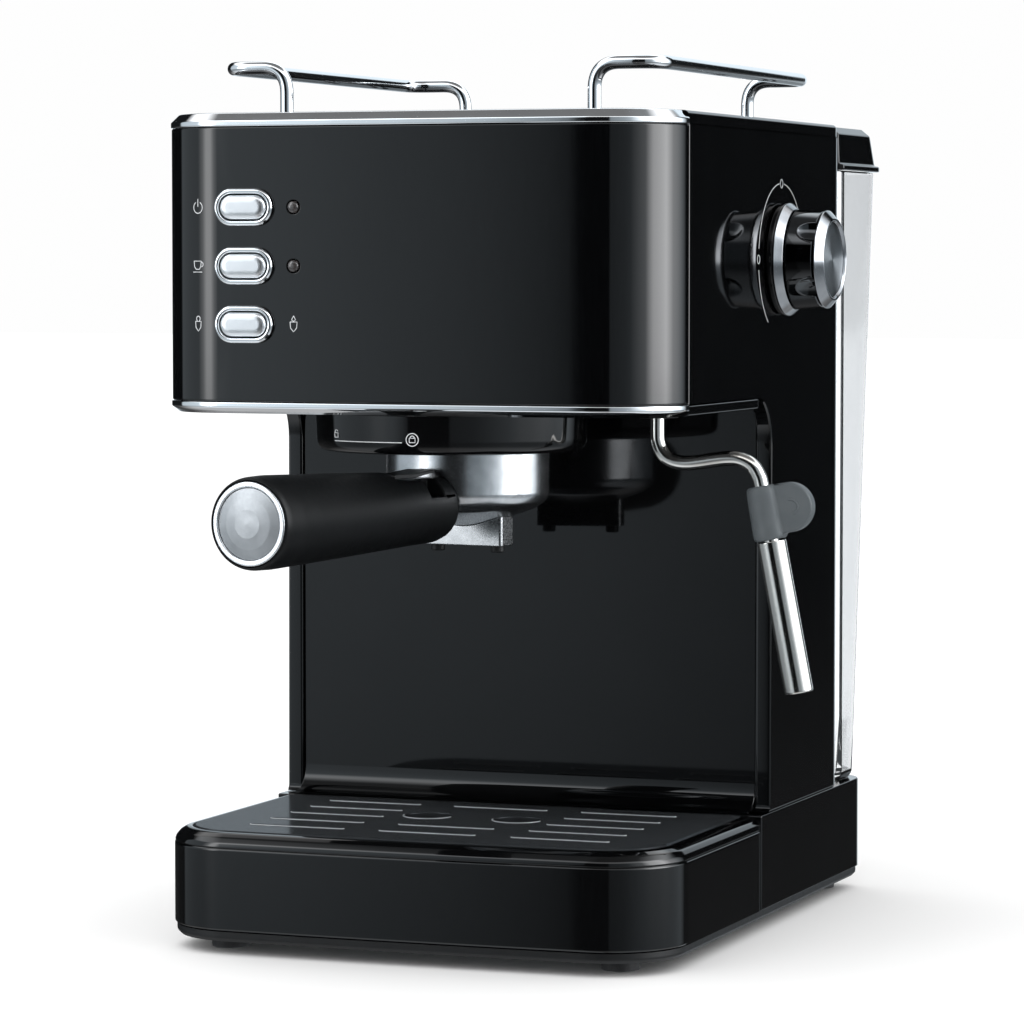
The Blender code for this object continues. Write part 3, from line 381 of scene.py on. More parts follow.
def gloss_black():
    finish = Finish("gloss_black_plastic")
    finish.colour(finish.noise(0.03), (0.0012, 0.0013, 0.0015), (0.0020, 0.0021, 0.0024))
    finish.roughness(finish.noise(0.006, 4.0), 0.030, 0.055)
    return finish.relief(finish.noise(0.012, 1.0), 0.000002)


def satin_black():
    """Black lacquered sheet: a faint vertical grain under a clear, nearly glossy skin."""
    finish = Finish("satin_black_panel")
    finish.colour(finish.noise(0.0004, 2.0, (1, 1, 0.03)), (0.0009, 0.0010, 0.0012),
                  (0.0018, 0.0020, 0.0023))
    finish.roughness(finish.noise(0.004, 4.0), 0.045, 0.065)
    return finish.relief(finish.noise(0.015, 1.0), 0.000002)


def matte_black():
    finish = Finish("matte_black_plastic", Specular_IOR_Level=0.30)
    finish.colour(finish.noise(0.008), (0.0048, 0.0052, 0.0057), (0.0068, 0.0073, 0.0079))
    finish.roughness(finish.noise(0.002, 3.0), 0.42, 0.50)
    return finish.relief(finish.noise(0.00035, 2.0), 0.000012)


def grip_black():
    """The handle's soft-touch moulding, which reflects less than the other mouldings."""
    finish = Finish("grip_black", Specular_IOR_Level=0.16)
    finish.colour(finish.noise(0.008), (0.0026, 0.0029, 0.0032), (0.0040, 0.0044, 0.0048))
    finish.roughness(finish.noise(0.002, 3.0), 0.38, 0.46)
    return finish.relief(finish.noise(0.00035, 2.0), 0.000012)


def grid_black():
    """Coated sheet: half a dull body colour, half a reflection that only shows at a low angle."""
    finish = Finish("grid_black", metallic=0.5, Specular_IOR_Level=0.0, Specular_Tint=(0.50, 0.51, 0.52, 1))
    finish.colour(finish.noise(0.006), (0.042, 0.046, 0.050), (0.050, 0.055, 0.060))
    finish.roughness(finish.noise(0.002, 3.0), 0.13, 0.19)
    return finish.relief(finish.noise(0.0004, 2.0), 0.000001)


def chrome():
    finish = Finish("chrome", metallic=1.0)
    finish.colour(finish.noise(0.02), (0.84, 0.86, 0.88), (0.90, 0.92, 0.94))
    finish.roughness(finish.noise(0.004, 4.0), 0.05, 0.09)
    return finish.relief(finish.noise(0.010, 1.0), 0.000002)


def silver_keys():
    finish = Finish("silver_keys", metallic=1.0)
    finish.colour(finish.noise(0.01), (0.86, 0.88, 0.90), (0.91, 0.93, 0.95))
    finish.roughness(finish.noise(0.001, 3.0), 0.28, 0.34)
    return finish.relief(finish.noise(0.0004, 2.0, (0.05, 1, 1)), 0.0000005)


def polished_steel():
    """Drawn tube: fine grain along its length."""
    finish = Finish("polished_steel", metallic=1.0)
    finish.colour(finish.noise(0.02), (0.72, 0.70, 0.665), (0.80, 0.78, 0.745))
    finish.roughness(finish.noise(0.001, 3.0, (1, 1, 0.05)), 0.10, 0.18)
    return finish.relief(finish.noise(0.0003, 2.0, (1, 1, 0.03)), 0.0000015)


def cast_chrome():
    """Plating over a die casting: bright, with the casting's fine pebbling still there."""
    finish = Finish("cast_chrome", metallic=1.0)
    finish.colour(finish.noise(0.006), (0.54, 0.56, 0.58), (0.66, 0.68, 0.70))
    finish.roughness(finish.noise(0.0009, 4.0), 0.20, 0.27)
    return finish.relief(finish.noise(0.0011, 3.0), 0.0000025)


def dull_casting():
    """The spout cover: the same casting, left grey."""
    finish = Finish("dull_casting", metallic=1.0)
    finish.colour(finish.noise(0.004), (0.34, 0.35, 0.36), (0.42, 0.43, 0.44))
    finish.roughness(finish.noise(0.0008, 4.0), 0.24, 0.31)
    return finish.relief(finish.noise(0.0009, 3.0), 0.000002)


def smoked_chrome():
    """The knob's bevelled rings, darker than the rest of the bright work."""
    finish = Finish("smoked_chrome", metallic=1.0)
    finish.colour(finish.noise(0.006), (0.27, 0.28, 0.295), (0.33, 0.34, 0.355))
    finish.roughness(finish.noise(0.002, 4.0), 0.08, 0.14)
    return finish.relief(finish.noise(0.006, 1.0), 0.000002)


def knob_black():
    """Black plating, which mirrors more than the black mouldings do."""
    finish = Finish("knob_black", metallic=1.0)
    finish.colour(finish.noise(0.01), (0.075, 0.080, 0.084), (0.090, 0.095, 0.100))
    finish.roughness(finish.noise(0.004, 4.0), 0.04, 0.07)
    return finish.relief(finish.noise(0.006, 1.0), 0.000002)


def painted_edge_highlight():
    """Painted highlight for the rounded edges of the grid's openings: a pale grey that stands in for the
    light the rims catch.
    """
    finish = Finish("painted_edge_highlight", metallic=0.2)
    finish.colour(finish.noise(0.002), (0.42, 0.44, 0.46), (0.52, 0.54, 0.56))
    finish.roughness(finish.noise(0.0008, 3.0), 0.35, 0.45)
    return finish.relief(finish.noise(0.0004, 2.0), 0.000002)


def aluminium():
    finish = Finish("aluminium", metallic=1.0)
    finish.colour(finish.noise(0.006), (0.55, 0.56, 0.57), (0.66, 0.67, 0.68))
    finish.roughness(finish.noise(0.001, 4.0), 0.30, 0.45)
    return finish.relief(finish.noise(0.0008, 3.0), 0.00002)


def spun_disc():
    """The knob's face, spun in fine rings, which pull the highlights into two fans."""
    centre = Vector((0, KNOB_Y, KNOB_Z)) + ORIGIN
    finish = Finish("spun_disc", metallic=1.0, Anisotropic=0.9, Anisotropic_Rotation=0.25)
    marks = finish.rings(centre, "X", 0.00012)
    finish.colour(marks, (0.17, 0.185, 0.20), (0.25, 0.27, 0.285))
    finish.roughness(marks, 0.26, 0.36)
    tangent = finish.tree.nodes.new("ShaderNodeTangent")
    tangent.direction_type = "RADIAL"
    tangent.axis = "X"
    finish.tree.links.new(tangent.outputs[0], finish.shader.inputs["Tangent"])
    return finish.relief(marks, 0.000002)


def satin_cap():
    """The handle's end cap: bead-blasted and plated."""
    finish = Finish("satin_cap", metallic=1.0)
    finish.colour(finish.noise(0.005), (0.40, 0.415, 0.43), (0.48, 0.495, 0.51))
    finish.roughness(finish.noise(0.0008, 3.0), 0.42, 0.50)
    return finish.relief(finish.noise(0.0003, 2.0), 0.000006)


def cap_ring():
    """The turned rim of the handle's end cap."""
    finish = Finish("cap_ring", metallic=1.0)
    finish.colour(finish.noise(0.005), (0.62, 0.64, 0.66), (0.70, 0.72, 0.74))
    finish.roughness(finish.noise(0.0008, 3.0), 0.26, 0.34)
    return finish.relief(finish.noise(0.0003, 2.0), 0.000004)


def brass():
    finish = Finish("brass", metallic=1.0)
    finish.colour(finish.noise(0.004), (0.62, 0.44, 0.19), (0.76, 0.56, 0.27))
    finish.roughness(finish.noise(0.001, 4.0), 0.24, 0.40)
    return finish.relief(finish.noise(0.0004, 3.0), 0.00001)


def grey_silicone():
    finish = Finish("grey_silicone")
    finish.colour(finish.noise(0.006), (0.068, 0.080, 0.088), (0.080, 0.093, 0.101))
    finish.roughness(finish.noise(0.002, 3.0), 0.45, 0.55)
    return finish.relief(finish.noise(0.0003, 2.0), 0.000008)


def black_rubber():
    finish = Finish("black_rubber")
    finish.colour(finish.noise(0.003), (0.010, 0.010, 0.011), (0.020, 0.020, 0.021))
    finish.roughness(finish.noise(0.001, 3.0), 0.60, 0.75)
    return finish.relief(finish.noise(0.0004, 3.0), 0.00002)


def silicone_tube():
    finish = Finish("silicone_tube", Subsurface_Weight=0.3)
    finish.shader.inputs["Subsurface Scale"].default_value = 0.002
    finish.colour(finish.noise(0.01), (0.72, 0.71, 0.66), (0.80, 0.79, 0.75))
    finish.roughness(finish.noise(0.003, 3.0), 0.35, 0.50)
    return finish.relief(finish.noise(0.001, 2.0), 0.000006)


def clear_plastic():
    finish = Finish("clear_plastic", Transmission_Weight=1.0, IOR=1.50)
    finish.colour(finish.noise(0.05), (0.90, 0.92, 0.94), (0.93, 0.95, 0.965))
    finish.roughness(finish.noise(0.02, 3.0), 0.02, 0.06)
    return finish.relief(finish.noise(0.02, 1.0), 0.00001)


def lamp_lens():
    finish = Finish("lamp_lens", Coat_Weight=1.0, Coat_Roughness=0.05)
    finish.colour(finish.noise(0.0012), (0.020, 0.018, 0.018), (0.045, 0.038, 0.037))
    finish.roughness(finish.noise(0.0008, 3.0), 0.25, 0.40)
    return finish.relief(finish.noise(0.0006, 2.0), 0.00001)


def circuit_board():
    finish = Finish("circuit_board")
    finish.colour(finish.noise(0.0015, 0.0), (0.010, 0.085, 0.040), (0.030, 0.160, 0.080))
    finish.roughness(finish.noise(0.002, 3.0), 0.30, 0.50)
    return finish.relief(finish.noise(0.0012, 1.0), 0.00002)


def copper_coil():
    """Enamelled wire wound level: fine turns stacked up the coil."""
    finish = Finish("copper_coil", metallic=0.8)
    turns = finish.noise(0.0006, 0.0, (0.02, 0.02, 1))
    finish.colour(turns, (0.30, 0.12, 0.045), (0.52, 0.25, 0.11))
    finish.roughness(turns, 0.28, 0.45)
    return finish.relief(turns, 0.00015)


def printed_white():
    finish = Finish("printed_white")
    finish.colour(finish.noise(0.001), (0.66, 0.68, 0.70), (0.74, 0.76, 0.78))
    finish.roughness(finish.noise(0.0005, 3.0), 0.45, 0.60)
    return finish.relief(finish.noise(0.0003, 2.0), 0.000003)


# Each finish, and the record's slot that it belongs to
FINISHES = {
    "gloss_black": (gloss_black, "gloss_black_plastic"),
    "satin_black": (satin_black, "satin_black_panel"),
    "matte_black": (matte_black, "matte_black_plastic"),
    "grip_black": (grip_black, "matte_black_plastic"),
    "grid_black": (grid_black, "matte_black_plastic"),
    "chrome": (chrome, "chrome"),
    "silver_keys": (silver_keys, "silver_keys"),
    "steel": (polished_steel, "polished_steel"),
    "cast_chrome": (cast_chrome, "chrome"),
    "dull_casting": (dull_casting, "chrome"),
    "knob_black": (knob_black, "gloss_black_plastic"),
    "painted_edge_highlight": (painted_edge_highlight, "chrome"),
    "smoked_chrome": (smoked_chrome, "chrome"),
    "aluminium": (aluminium, "aluminium"),
    "spun_disc": (spun_disc, "aluminium"),
    "satin_cap": (satin_cap, "chrome"),
    "cap_ring": (cap_ring, "chrome"),
    "brass": (brass, "brass"),
    "grey_silicone": (grey_silicone, "grey_silicone"),
    "black_rubber": (black_rubber, "black_rubber"),
    "silicone_tube": (silicone_tube, "silicone_tube"),
    "clear_plastic": (clear_plastic, "clear_plastic"),
    "lamp_lens": (lamp_lens, "lamp_lens"),
    "circuit_board": (circuit_board, "circuit_board"),
    "copper_coil": (copper_coil, "copper_coil"),
    "printed_white": (printed_white, "silver_keys"),
}
made_finishes = {}


def material_of(finish):
    if finish not in made_finishes:
        made_finishes[finish] = FINISHES[finish][0]().material
    return made_finishes[finish]


# ---------------------------------------------------------------- outlines and shapes

def arc(centre, radius, start, end, steps):
    """Points of an arc, angles in degrees, both ends included."""
    angles = [math.radians(start + (end - start) * i / steps) for i in range(steps + 1)]
    return [(centre[0] + radius * math.cos(a), centre[1] + radius * math.sin(a)) for a in angles]


def circle(radius, steps=64, centre=(0.0, 0.0)):
    return arc(centre, radius, 0, 360, steps)[:-1]


def stadium(half_length, half_height, steps=14):
    """A slot outline with round ends, long in its first coordinate."""
    straight = half_length - half_height
    return (arc((straight, 0), half_height, -90, 90, steps)
            + arc((-straight, 0), half_height, 90, 270, steps))


def rounded_box(left, right, front, rear, radius, steps=10, front_radius=None):
    near = radius if front_radius is None else front_radius
    corners = (
        ((right - near, front + near), near, -90), ((right - radius, rear - radius), radius, 0),
        ((left + radius, rear - radius), radius, 90), ((left + near, front + near), near, 180),
    )
    return [point for centre, size, start in corners
            for point in arc(centre, size, start, start + 90, steps)]


def bowed_front(inset, steps=24):
    """The gently bowed front edge between its two corner arcs, from left to right, ends left out."""
    centre = (0.0, FRONT_RADIUS + (BOW_RADIUS - FRONT_RADIUS) * math.cos(math.radians(BOW_TURN)))
    return arc(centre, BOW_RADIUS - inset, -90 - BOW_TURN, -90 + BOW_TURN, steps)[1:-1]


def plan(rear, rear_radius, inset=0.0, rear_inset=None, steps=22):
    """The machine's plan outline: round front corners, bowed front, tighter rear corners."""
    half = HALF_WIDTH - inset
    front_radius = max(FRONT_RADIUS - inset, 0.001)
    back_radius = max(rear_radius - inset, 0.0006)
    centre_x = half - front_radius
    back = rear - (inset if rear_inset is None else rear_inset)
    points = arc((centre_x, FRONT_RADIUS), front_radius, -90 + BOW_TURN, 0, steps)
    points += arc((half - back_radius, back - back_radius), back_radius, 0, 90, 8)
    points += arc((-half + back_radius, back - back_radius), back_radius, 90, 180, 8)
    points += arc((-centre_x, FRONT_RADIUS), front_radius, 180, 270 - BOW_TURN, steps)
    return points + bowed_front(inset)


def front_path(inset, reach=0.0, steps=22):
    """Round the front from the right side to the left, starting reach behind the corner arcs."""
    half = HALF_WIDTH - inset
    radius = FRONT_RADIUS - inset
    path = arc((half - radius, FRONT_RADIUS), radius, 0, -90 + BOW_TURN, steps)
    path += bowed_front(inset)[::-1]
    path += arc((-half + radius, FRONT_RADIUS), radius, -90 - BOW_TURN, -180, steps)
    if reach > 0:
        path = [(half, FRONT_RADIUS + reach)] + path + [(-half, FRONT_RADIUS + reach)]
    return path


def front_point(along, z, proud=0.0):
    """A point on the front surface, this far along it from the middle, to the right if positive."""
    half_bow = BOW_RADIUS * math.radians(BOW_TURN)
    side = math.copysign(1.0, along)
    if abs(along) <= half_bow:
        turn = abs(along) / BOW_RADIUS
        radius = BOW_RADIUS + proud
        centre_y = FRONT_RADIUS + (BOW_RADIUS - FRONT_RADIUS) * math.cos(math.radians(BOW_TURN))
        return Vector((side * radius * math.sin(turn), centre_y - radius * math.cos(turn), z))
    turn = math.radians(BOW_TURN) + (abs(along) - half_bow) / FRONT_RADIUS
    radius = FRONT_RADIUS + proud
    corner_x = HALF_WIDTH - FRONT_RADIUS
    return Vector((side * (corner_x + radius * math.sin(turn)), FRONT_RADIUS - radius * math.cos(turn), z))


def filleted(profile, radius, steps=4, closed=False):
    """The profile with each corner rounded by a short curve that starts radius away from it."""
    points = [Vector(p) for p in profile]
    rounded = []
    for i, corner in enumerate(points):
        if not closed and i in (0, len(points) - 1):
            rounded.append(corner)
            continue
        before = points[i - 1] - corner
        after = points[(i + 1) % len(points)] - corner
        start = corner + before.normalized() * min(radius, 0.45 * before.length)
        end = corner + after.normalized() * min(radius, 0.45 * after.length)
        for k in range(steps + 1):
            t = k / steps
            rounded.append((1 - t) ** 2 * start + 2 * t * (1 - t) * corner + t ** 2 * end)
    return rounded


def level(outline, z):
    return [Vector((x, y, z)) for x, y in outline]


def loft(rings, ring_shaped=False):
    """Faces between successive rings of points, capped at both ends, or joined end to start."""
    count = len(rings[0])
    points = [Vector(p) for ring in rings for p in ring]
    faces = []
    for step in range(len(rings) if ring_shaped else len(rings) - 1):
        here = step * count
        there = (step + 1) % len(rings) * count
        for i in range(count):
            j = (i + 1) % count
            faces.append((here + i, here + j, there + j, there + i))
    if not ring_shaped:
        faces.append(tuple(range(count))[::-1])
        faces.append(tuple(range((len(rings) - 1) * count, len(rings) * count)))
    return points, faces


def stack(outline, profile, fillet=0.0, ring_shaped=False, steps=4):
    """Lofts outline(inset) through a profile of (inset, height), with the profile's corners rounded."""
    if fillet:
        profile = filleted(profile, fillet, steps, ring_shaped)
    return loft([level(outline(p[0]), p[1]) for p in profile], ring_shaped)


def turned(profile, fillet=0.0, ring_shaped=False, steps=72):
    """A profile of (radius, height) turned about Z, with the profile's corners rounded."""
    return stack(lambda radius: circle(max(radius, 0.00001), steps), profile, fillet, ring_shaped)


def prism(outline, low_end, high_end):
    return loft([level(outline, low_end), level(outline, high_end)])


def prism_x(outline, low_end, high_end):
    """The outline, in Y and Z, raised along X."""
    return loft([[Vector((x, y, z)) for y, z in outline] for x in (low_end, high_end)])


def wrap(outer, inner, low_end, high_end, reach=0.0):
    """A band round the front and its corners, between two insets."""
    return prism(front_path(outer, reach) + front_path(inner, reach)[::-1], low_end, high_end)


def band(profile, inner, fillet, reach=0.0):
    """A wrapped strip whose outer face follows a profile of (inset, height)."""
    rings = filleted(profile, fillet)
    return loft([level(front_path(p[0], reach) + front_path(inner, reach)[::-1], p[1]) for p in rings])


def moved(shape, matrix):
    return [matrix @ p for p in shape[0]], shape[1]


def shifted(shape, x=0.0, y=0.0, z=0.0):
    return moved(shape, Matrix.Translation((x, y, z)))


def turn(axis, degrees):
    return Matrix.Rotation(math.radians(degrees), 4, axis)


def at(x, y, z):
    return Matrix.Translation((x, y, z))


TOWARDS_FRONT = turn("X", 90)


# ---------------------------------------------------------------- pieces

def mesh_object(name, shapes, place):
    work = bmesh.new()
    for points, faces in shapes if isinstance(shapes, list) else [shapes]:
        made = [work.verts.new(at(*ORIGIN) @ place @ p) for p in points]
        for face in faces:
            work.faces.new([made[i] for i in face])
    bmesh.ops.recalc_face_normals(work, faces=work.faces)
    mesh = bpy.data.meshes.new(name)
    work.to_mesh(mesh)
    work.free()
    obj = bpy.data.objects.new(name, mesh)
    bpy.context.scene.collection.objects.link(obj)
    return obj


def carve(obj, shapes, place, operation):
    """Cuts or joins a helper shape, keeps the result as the mesh and removes the helper."""
    helper = mesh_object("helper", shapes, place)
    modifier = obj.modifiers.new("carve", "BOOLEAN")
    modifier.operation = operation
    modifier.object = helper
    graph = bpy.context.evaluated_depsgraph_get()
    mesh = bpy.data.meshes.new_from_object(obj.evaluated_get(graph))
    obj.modifiers.clear()
    obj.data = mesh
    bpy.data.objects.remove(helper)


def soften(obj, width, where, angle=35.0, segments=3):
    """Rounds the sharp edges whose middle, in machine coordinates, passes the test."""
    work = bmesh.new()
    work.from_mesh(obj.data)
    bmesh.ops.remove_doubles(work, verts=work.verts, dist=0.000004)
    bmesh.ops.dissolve_degenerate(work, edges=work.edges, dist=0.000004)
    chosen = []
    for edge in work.edges:
        centre = (edge.verts[0].co + edge.verts[1].co) / 2 - ORIGIN
        if len(edge.link_faces) == 2 and edge.calc_face_angle(0.0) > math.radians(angle) and where(centre):
            chosen.append(edge)
    bmesh.ops.bevel(work, geom=chosen, offset=width, segments=segments, profile=0.5, affect="EDGES",
                    clamp_overlap=False)
    work.to_mesh(obj.data)
    work.free()


def dress(obj, finish, body, nodes=()):
    """Gives a piece its finish and body, and hides the CAD nodes it stands for."""
    obj.data.materials.clear()
    obj.data.materials.append(material_of(finish))
    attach(obj, body)
    if nodes:
        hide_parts(*nodes)
    return obj


def piece(name, shape, finish, body=None, nodes=None, place=Matrix(), cuts=(), joins=(), soft=None,
          sharp=40.0):
    """One finished piece. Without nodes it stands for the CAD node whose name starts its own."""
    if nodes is None:
        nodes = (name,)
        name += "_detailed"
    obj = mesh_object(name, shape, place)
    for joined in joins:
        carve(obj, joined, place, "UNION")
    for removed in cuts:
        carve(obj, removed, place, "DIFFERENCE")
    if soft:
        soften(obj, soft[0], soft[1] if len(soft) > 1 else lambda centre: True)
    obj.data.shade_smooth()
    obj.data.set_sharp_from_angle(angle=math.radians(sharp))
    flat = obj.modifiers.new("flat_faces_stay_flat", "WEIGHTED_NORMAL")
    flat.keep_sharp = True
    return dress(obj, finish, body or BODY_OF[nodes[0]], nodes)


def wire(name, paths, radius, finish, body=None, nodes=None, resolution=6):
    """Round wires, pipes or printed lines along lists of points in machine coordinates."""
    if nodes is None:
        nodes = (name,)
        name += "_detailed"
    curve = bpy.data.curves.new(name, "CURVE")
    curve.dimensions = "3D"
    curve.bevel_depth = radius
    curve.bevel_resolution = resolution
    curve.use_fill_caps = True
    for path in paths:
        spline = curve.splines.new("POLY")
        spline.points.add(len(path) - 1)
        for point, where in zip(spline.points, path):
            point.co = (*(Vector(where) + ORIGIN), 1.0)
    obj = bpy.data.objects.new(name, curve)
    bpy.context.scene.collection.objects.link(obj)
    return dress(obj, finish, body or BODY_OF[nodes[0]], nodes)


def rounded_path(corners, radius, steps=14):
    return filleted(corners, radius, steps)


def smooth_path(points, steps=8):
    """A Catmull-Rom curve through the points."""
    points = [Vector(p) for p in points]
    padded = [2 * points[0] - points[1]] + points + [2 * points[-1] - points[-2]]
    path = []
    for a, b, c, d in zip(padded, padded[1:], padded[2:], padded[3:]):
        for i in range(steps):
            t = i / steps
            path.append(0.5 * (2 * b + (c - a) * t + (2 * a - 5 * b + 4 * c - d) * t ** 2
                               + (3 * b - a - 3 * c + d) * t ** 3))
    return path + [points[-1]]


# ---------------------------------------------------------------- base

def add_feet():
    top = DECK_PLATE_BOTTOM - GAP
    profile = ((0.0052, 0.0006), (0.0054, 0.0), (0.0068, 0.0), (0.0070, 0.0008), (0.0070, top))
    for name in ("foot_front_left", "foot_front_right", "foot_rear_left", "foot_rear_right"):
        centre = middle(name)
        piece(name, turned(profile, 0.0005), "black_rubber", place=at(centre.x, centre.y, 0))


def add_base_plate():
    bottom, top = low("base_plate").z, high("base_plate").z

    def outline(inset):
        return plan(BASE_REAR, BASE_REAR_RADIUS, inset)

    piece("base_plate", stack(outline, ((0.0022, bottom), (0.0008, bottom + 0.0014), (0.0008, top)),
                              0.0006),
          "matte_black")


def add_rear_base():
    """The rear of the base: an open-bottomed box whose top carries the column and the tank."""
    def outline(inset):
        half = HALF_WIDTH - inset
        radius = max(BASE_REAR_RADIUS - inset, 0.001)
        rear = BASE_REAR - inset
        points = arc((-half + 0.0006, HOUSING_FRONT + min(inset, WALL) + 0.0006), 0.0006, 180, 270, 3)
        points += arc((half - 0.0006, HOUSING_FRONT + min(inset, WALL) + 0.0006), 0.0006, -90, 0, 3)
        points += arc((half - radius, rear - radius), radius, 0, 90, 12)
        return points + arc((-half + radius, rear - radius), radius, 90, 180, 12)

    profile = ((WALL, DECK - WALL), (WALL, BASE_BOTTOM), (0.0, BASE_BOTTOM), (0.0, DECK - 0.0003),
               (0.0003, DECK))
    gland = at(middle("cord_gland").x, BASE_REAR, middle("cord_gland").z) @ turn("X", -90)
    piece("rear_base", stack(outline, profile, 0.0003), "gloss_black", cuts=(
        shifted(prism(circle(0.0110), 0.0400, 0.0500), y=PUMP_Y),
        shifted(prism(circle(0.0070), 0.0400, 0.0500), y=VALVE_Y),
        moved(prism(circle(0.0063), -0.006, 0.006), gland),
    ))
    profile = (
        (0.0034, -0.0060), (0.0060, -0.0060), (0.0060, GAP), (0.0090, GAP), (0.0086, 0.0022),
        (0.0058, 0.0032), (0.0050, 0.0120), (0.0034, 0.0120),
    )
    piece("cord_gland", turned(profile, 0.0004, True), "black_rubber", place=gland)


def add_drip_tray():
    def outline(profile_point):
        inset, _, rear_inset = profile_point
        return plan(TRAY_REAR, 0.002, inset, rear_inset)

    groove = FASCIA_TOP - 0.0003
    profile = (
        (0, BASE_BOTTOM, 0), (0, groove - 0.0004, 0), (0.0005, groove, 0), (0.0005, groove + 0.0004, 0),
        (0.0001, groove + 0.0008, 0), (0.0006, 0.0415, 0), (0.0022, 0.0434, 0), (0.0044, 0.0447, 0),
        (0.0063, DECK, 0), (0.0067, 0.0448, 0.0012), (0.0067, 0.0430, 0.0022), (0.0100, 0.0430, 0.0050),
        (0.0110, 0.0120, 0.0060),
    )
    rings = filleted(profile, 0.0005, 3)
    shape = loft([level(outline(p), p[1]) for p in rings])
    seat = wrap(WRAP_THICKNESS + GAP, -0.004, 0.0070, FASCIA_TOP + GAP, 0.0003)
    piece("drip_tray", shape, "gloss_black", cuts=(seat,))
    bottom = low("tray_fascia").z
    piece("tray_fascia", band(((0.0004, bottom), (0, bottom + 0.0005), (0, FASCIA_TOP - 0.0005),
                               (0.0004, FASCIA_TOP)),
                              WRAP_THICKNESS, 0.0003), "satin_black")


def add_drip_grid():
    def outline(inset):
        return plan(TRAY_REAR, 0.002, 0.0070 + inset, 0.0025 + inset)

    bottom, top = low("drip_grid").z, high("drip_grid").z
    plate = stack(outline, ((0, bottom), (0, top - 0.0008), (0.0008, top)), 0.0004)
    rows = [0.028 + 0.019 * i for i in range(5)]
    slot = stadium(0.0190, 0.0016)
    openings = [(slot, x, y) for x in (-0.052, 0.052) for y in rows]
    openings += [(slot, 0, y) for y in (rows[0], rows[1], rows[4])]
    openings += [(circle(0.0095), x, 0.074) for x in (-0.018, 0.018)]
    cutters = [shifted(prism(outline, 0.0400, 0.0500), x, y) for outline, x, y in openings]

    def on_openings(centre):
        inside = abs(centre.x) < 0.074 and 0.020 < centre.y < 0.110
        return inside and centre.z > top - 0.0001

    piece("drip_grid", plate, "grid_black", cuts=(cutters,), soft=(0.0003, on_openings))
    # Painted highlights: thin pale wires along the front side of each opening's rim, standing in for the
    # light that the rims catch.
    highlight_radius = 0.00022
    highlight_lines = [[(x + u, y + v, top) for u, v in sorted(outline) if v < -0.0003] for outline, x, y in openings]
    wire("drip_grid_lips", highlight_lines, highlight_radius, "painted_edge_highlight", "drip_grid", ("drip_grid",), 3)


# ---------------------------------------------------------------- body

def control_holes(extra):
    """The holes behind the buttons and lamps, through the front panel and the shell."""
    button = moved(prism(stadium(0.0108 + extra, 0.0061 + extra), -0.010, 0.010), TOWARDS_FRONT)
    lamp = moved(prism(circle(0.0025 + extra, 32), -0.010, 0.010), TOWARDS_FRONT)
    holes = [shifted(button, BUTTON_X, 0, z) for z in BUTTON_Z]
    return holes + [shifted(lamp, LAMP_X, 0, z) for z in BUTTON_Z[:2]]


def column_clearance():
    """The space under the head and in front of the column, as an outline in Y and Z."""
    radius = PILLAR_COVE_RADIUS
    cove = arc((COLUMN_FRONT - radius, SHELL_BOTTOM + radius), radius, -90, 0, 10)
    centre = (COLUMN_FRONT - CORBEL_RADIUS, FLOOR_TOP + GAP - CORBEL_RADIUS)
    corbel = arc(centre, CORBEL_RADIUS, 0, 90, 24)
    return [(-0.020, 0.030), (cove[0][0], 0.030)] + cove + corbel + [(-0.020, corbel[-1][1])]


def add_body_shell():
    """One moulding: the sides and back of the head, running down into the column."""
    def outline(inset):
        return plan(HEAD_REAR, HEAD_REAR_RADIUS, inset)

    shell = stack(outline, ((0.0004, SHELL_BOTTOM), (0, SHELL_BOTTOM + 0.0006), (0, PANEL_TOP)), 0.0003)
    hollow = prism(plan(HEAD_REAR, HEAD_REAR_RADIUS, 0.0043, WALL), FLOOR_TOP - 0.002, PANEL_TOP + 0.010)
    column = prism(rounded_box(-0.097, 0.097, COLUMN_FRONT + 0.004, HEAD_REAR - WALL,
                               HEAD_REAR_RADIUS - WALL), 0.030,
                   FLOOR_TOP + 0.010)
    window = prism(rounded_box(-HALF_WIDTH + PILLAR, HALF_WIDTH - PILLAR, 0.100, 0.140, 0.001, 3), 0.030,
                   FLOOR_TOP + GAP)
    knob_hole = moved(prism(circle(0.0062), -0.010, 0.010), at(HALF_WIDTH, KNOB_Y, KNOB_Z) @ turn("Y", 90))

    def on_bay_edge(centre):
        facing = (abs(abs(centre.x) - HALF_WIDTH) < 0.0002
                  or abs(abs(centre.x) - HALF_WIDTH + PILLAR) < 0.0002)
        at_bay = centre.y < COLUMN_FRONT + 0.0005 and SHELL_BOTTOM + 0.0028 < centre.z < FLOOR_TOP - 0.0015
        at_panel = (abs(centre.y - FRONT_RADIUS - 0.0003) < 0.0001
                    and FLOOR_TOP + 0.002 < centre.z < PANEL_TOP - 0.001)
        return facing and (at_bay or at_panel)

    piece("body_shell", shell, "gloss_black", cuts=(
        prism_x(column_clearance(), -0.120, 0.120), hollow, column, window,
        wrap(WRAP_THICKNESS + GAP, -0.004, 0.2000, PANEL_TOP + 0.010, 0.0003),
        control_holes(GAP) + [knob_hole],
    ), soft=(0.0009, on_bay_edge))


def add_splash_panel():
    """The polished back of the cup bay, which sweeps forward at its foot."""
    thickness = 0.0020
    top = high("splash_panel").z
    front = COLUMN_FRONT + 0.0015
    half = high("splash_panel").x
    cove = arc((front - COVE_RADIUS, SHELL_BOTTOM + COVE_RADIUS + 0.0005), COVE_RADIUS, -90, 0, 18)
    outline = cove + [(front, top), (front + thickness, top), (front + thickness, SHELL_BOTTOM),
                      (cove[0][0], SHELL_BOTTOM)]

    def at_the_side(centre):
        return abs(abs(centre.x) - half) < 0.0002 and centre.y < front + 0.0002

    piece("splash_panel", prism_x(outline, -half, half), "gloss_black", soft=(0.0005, at_the_side))


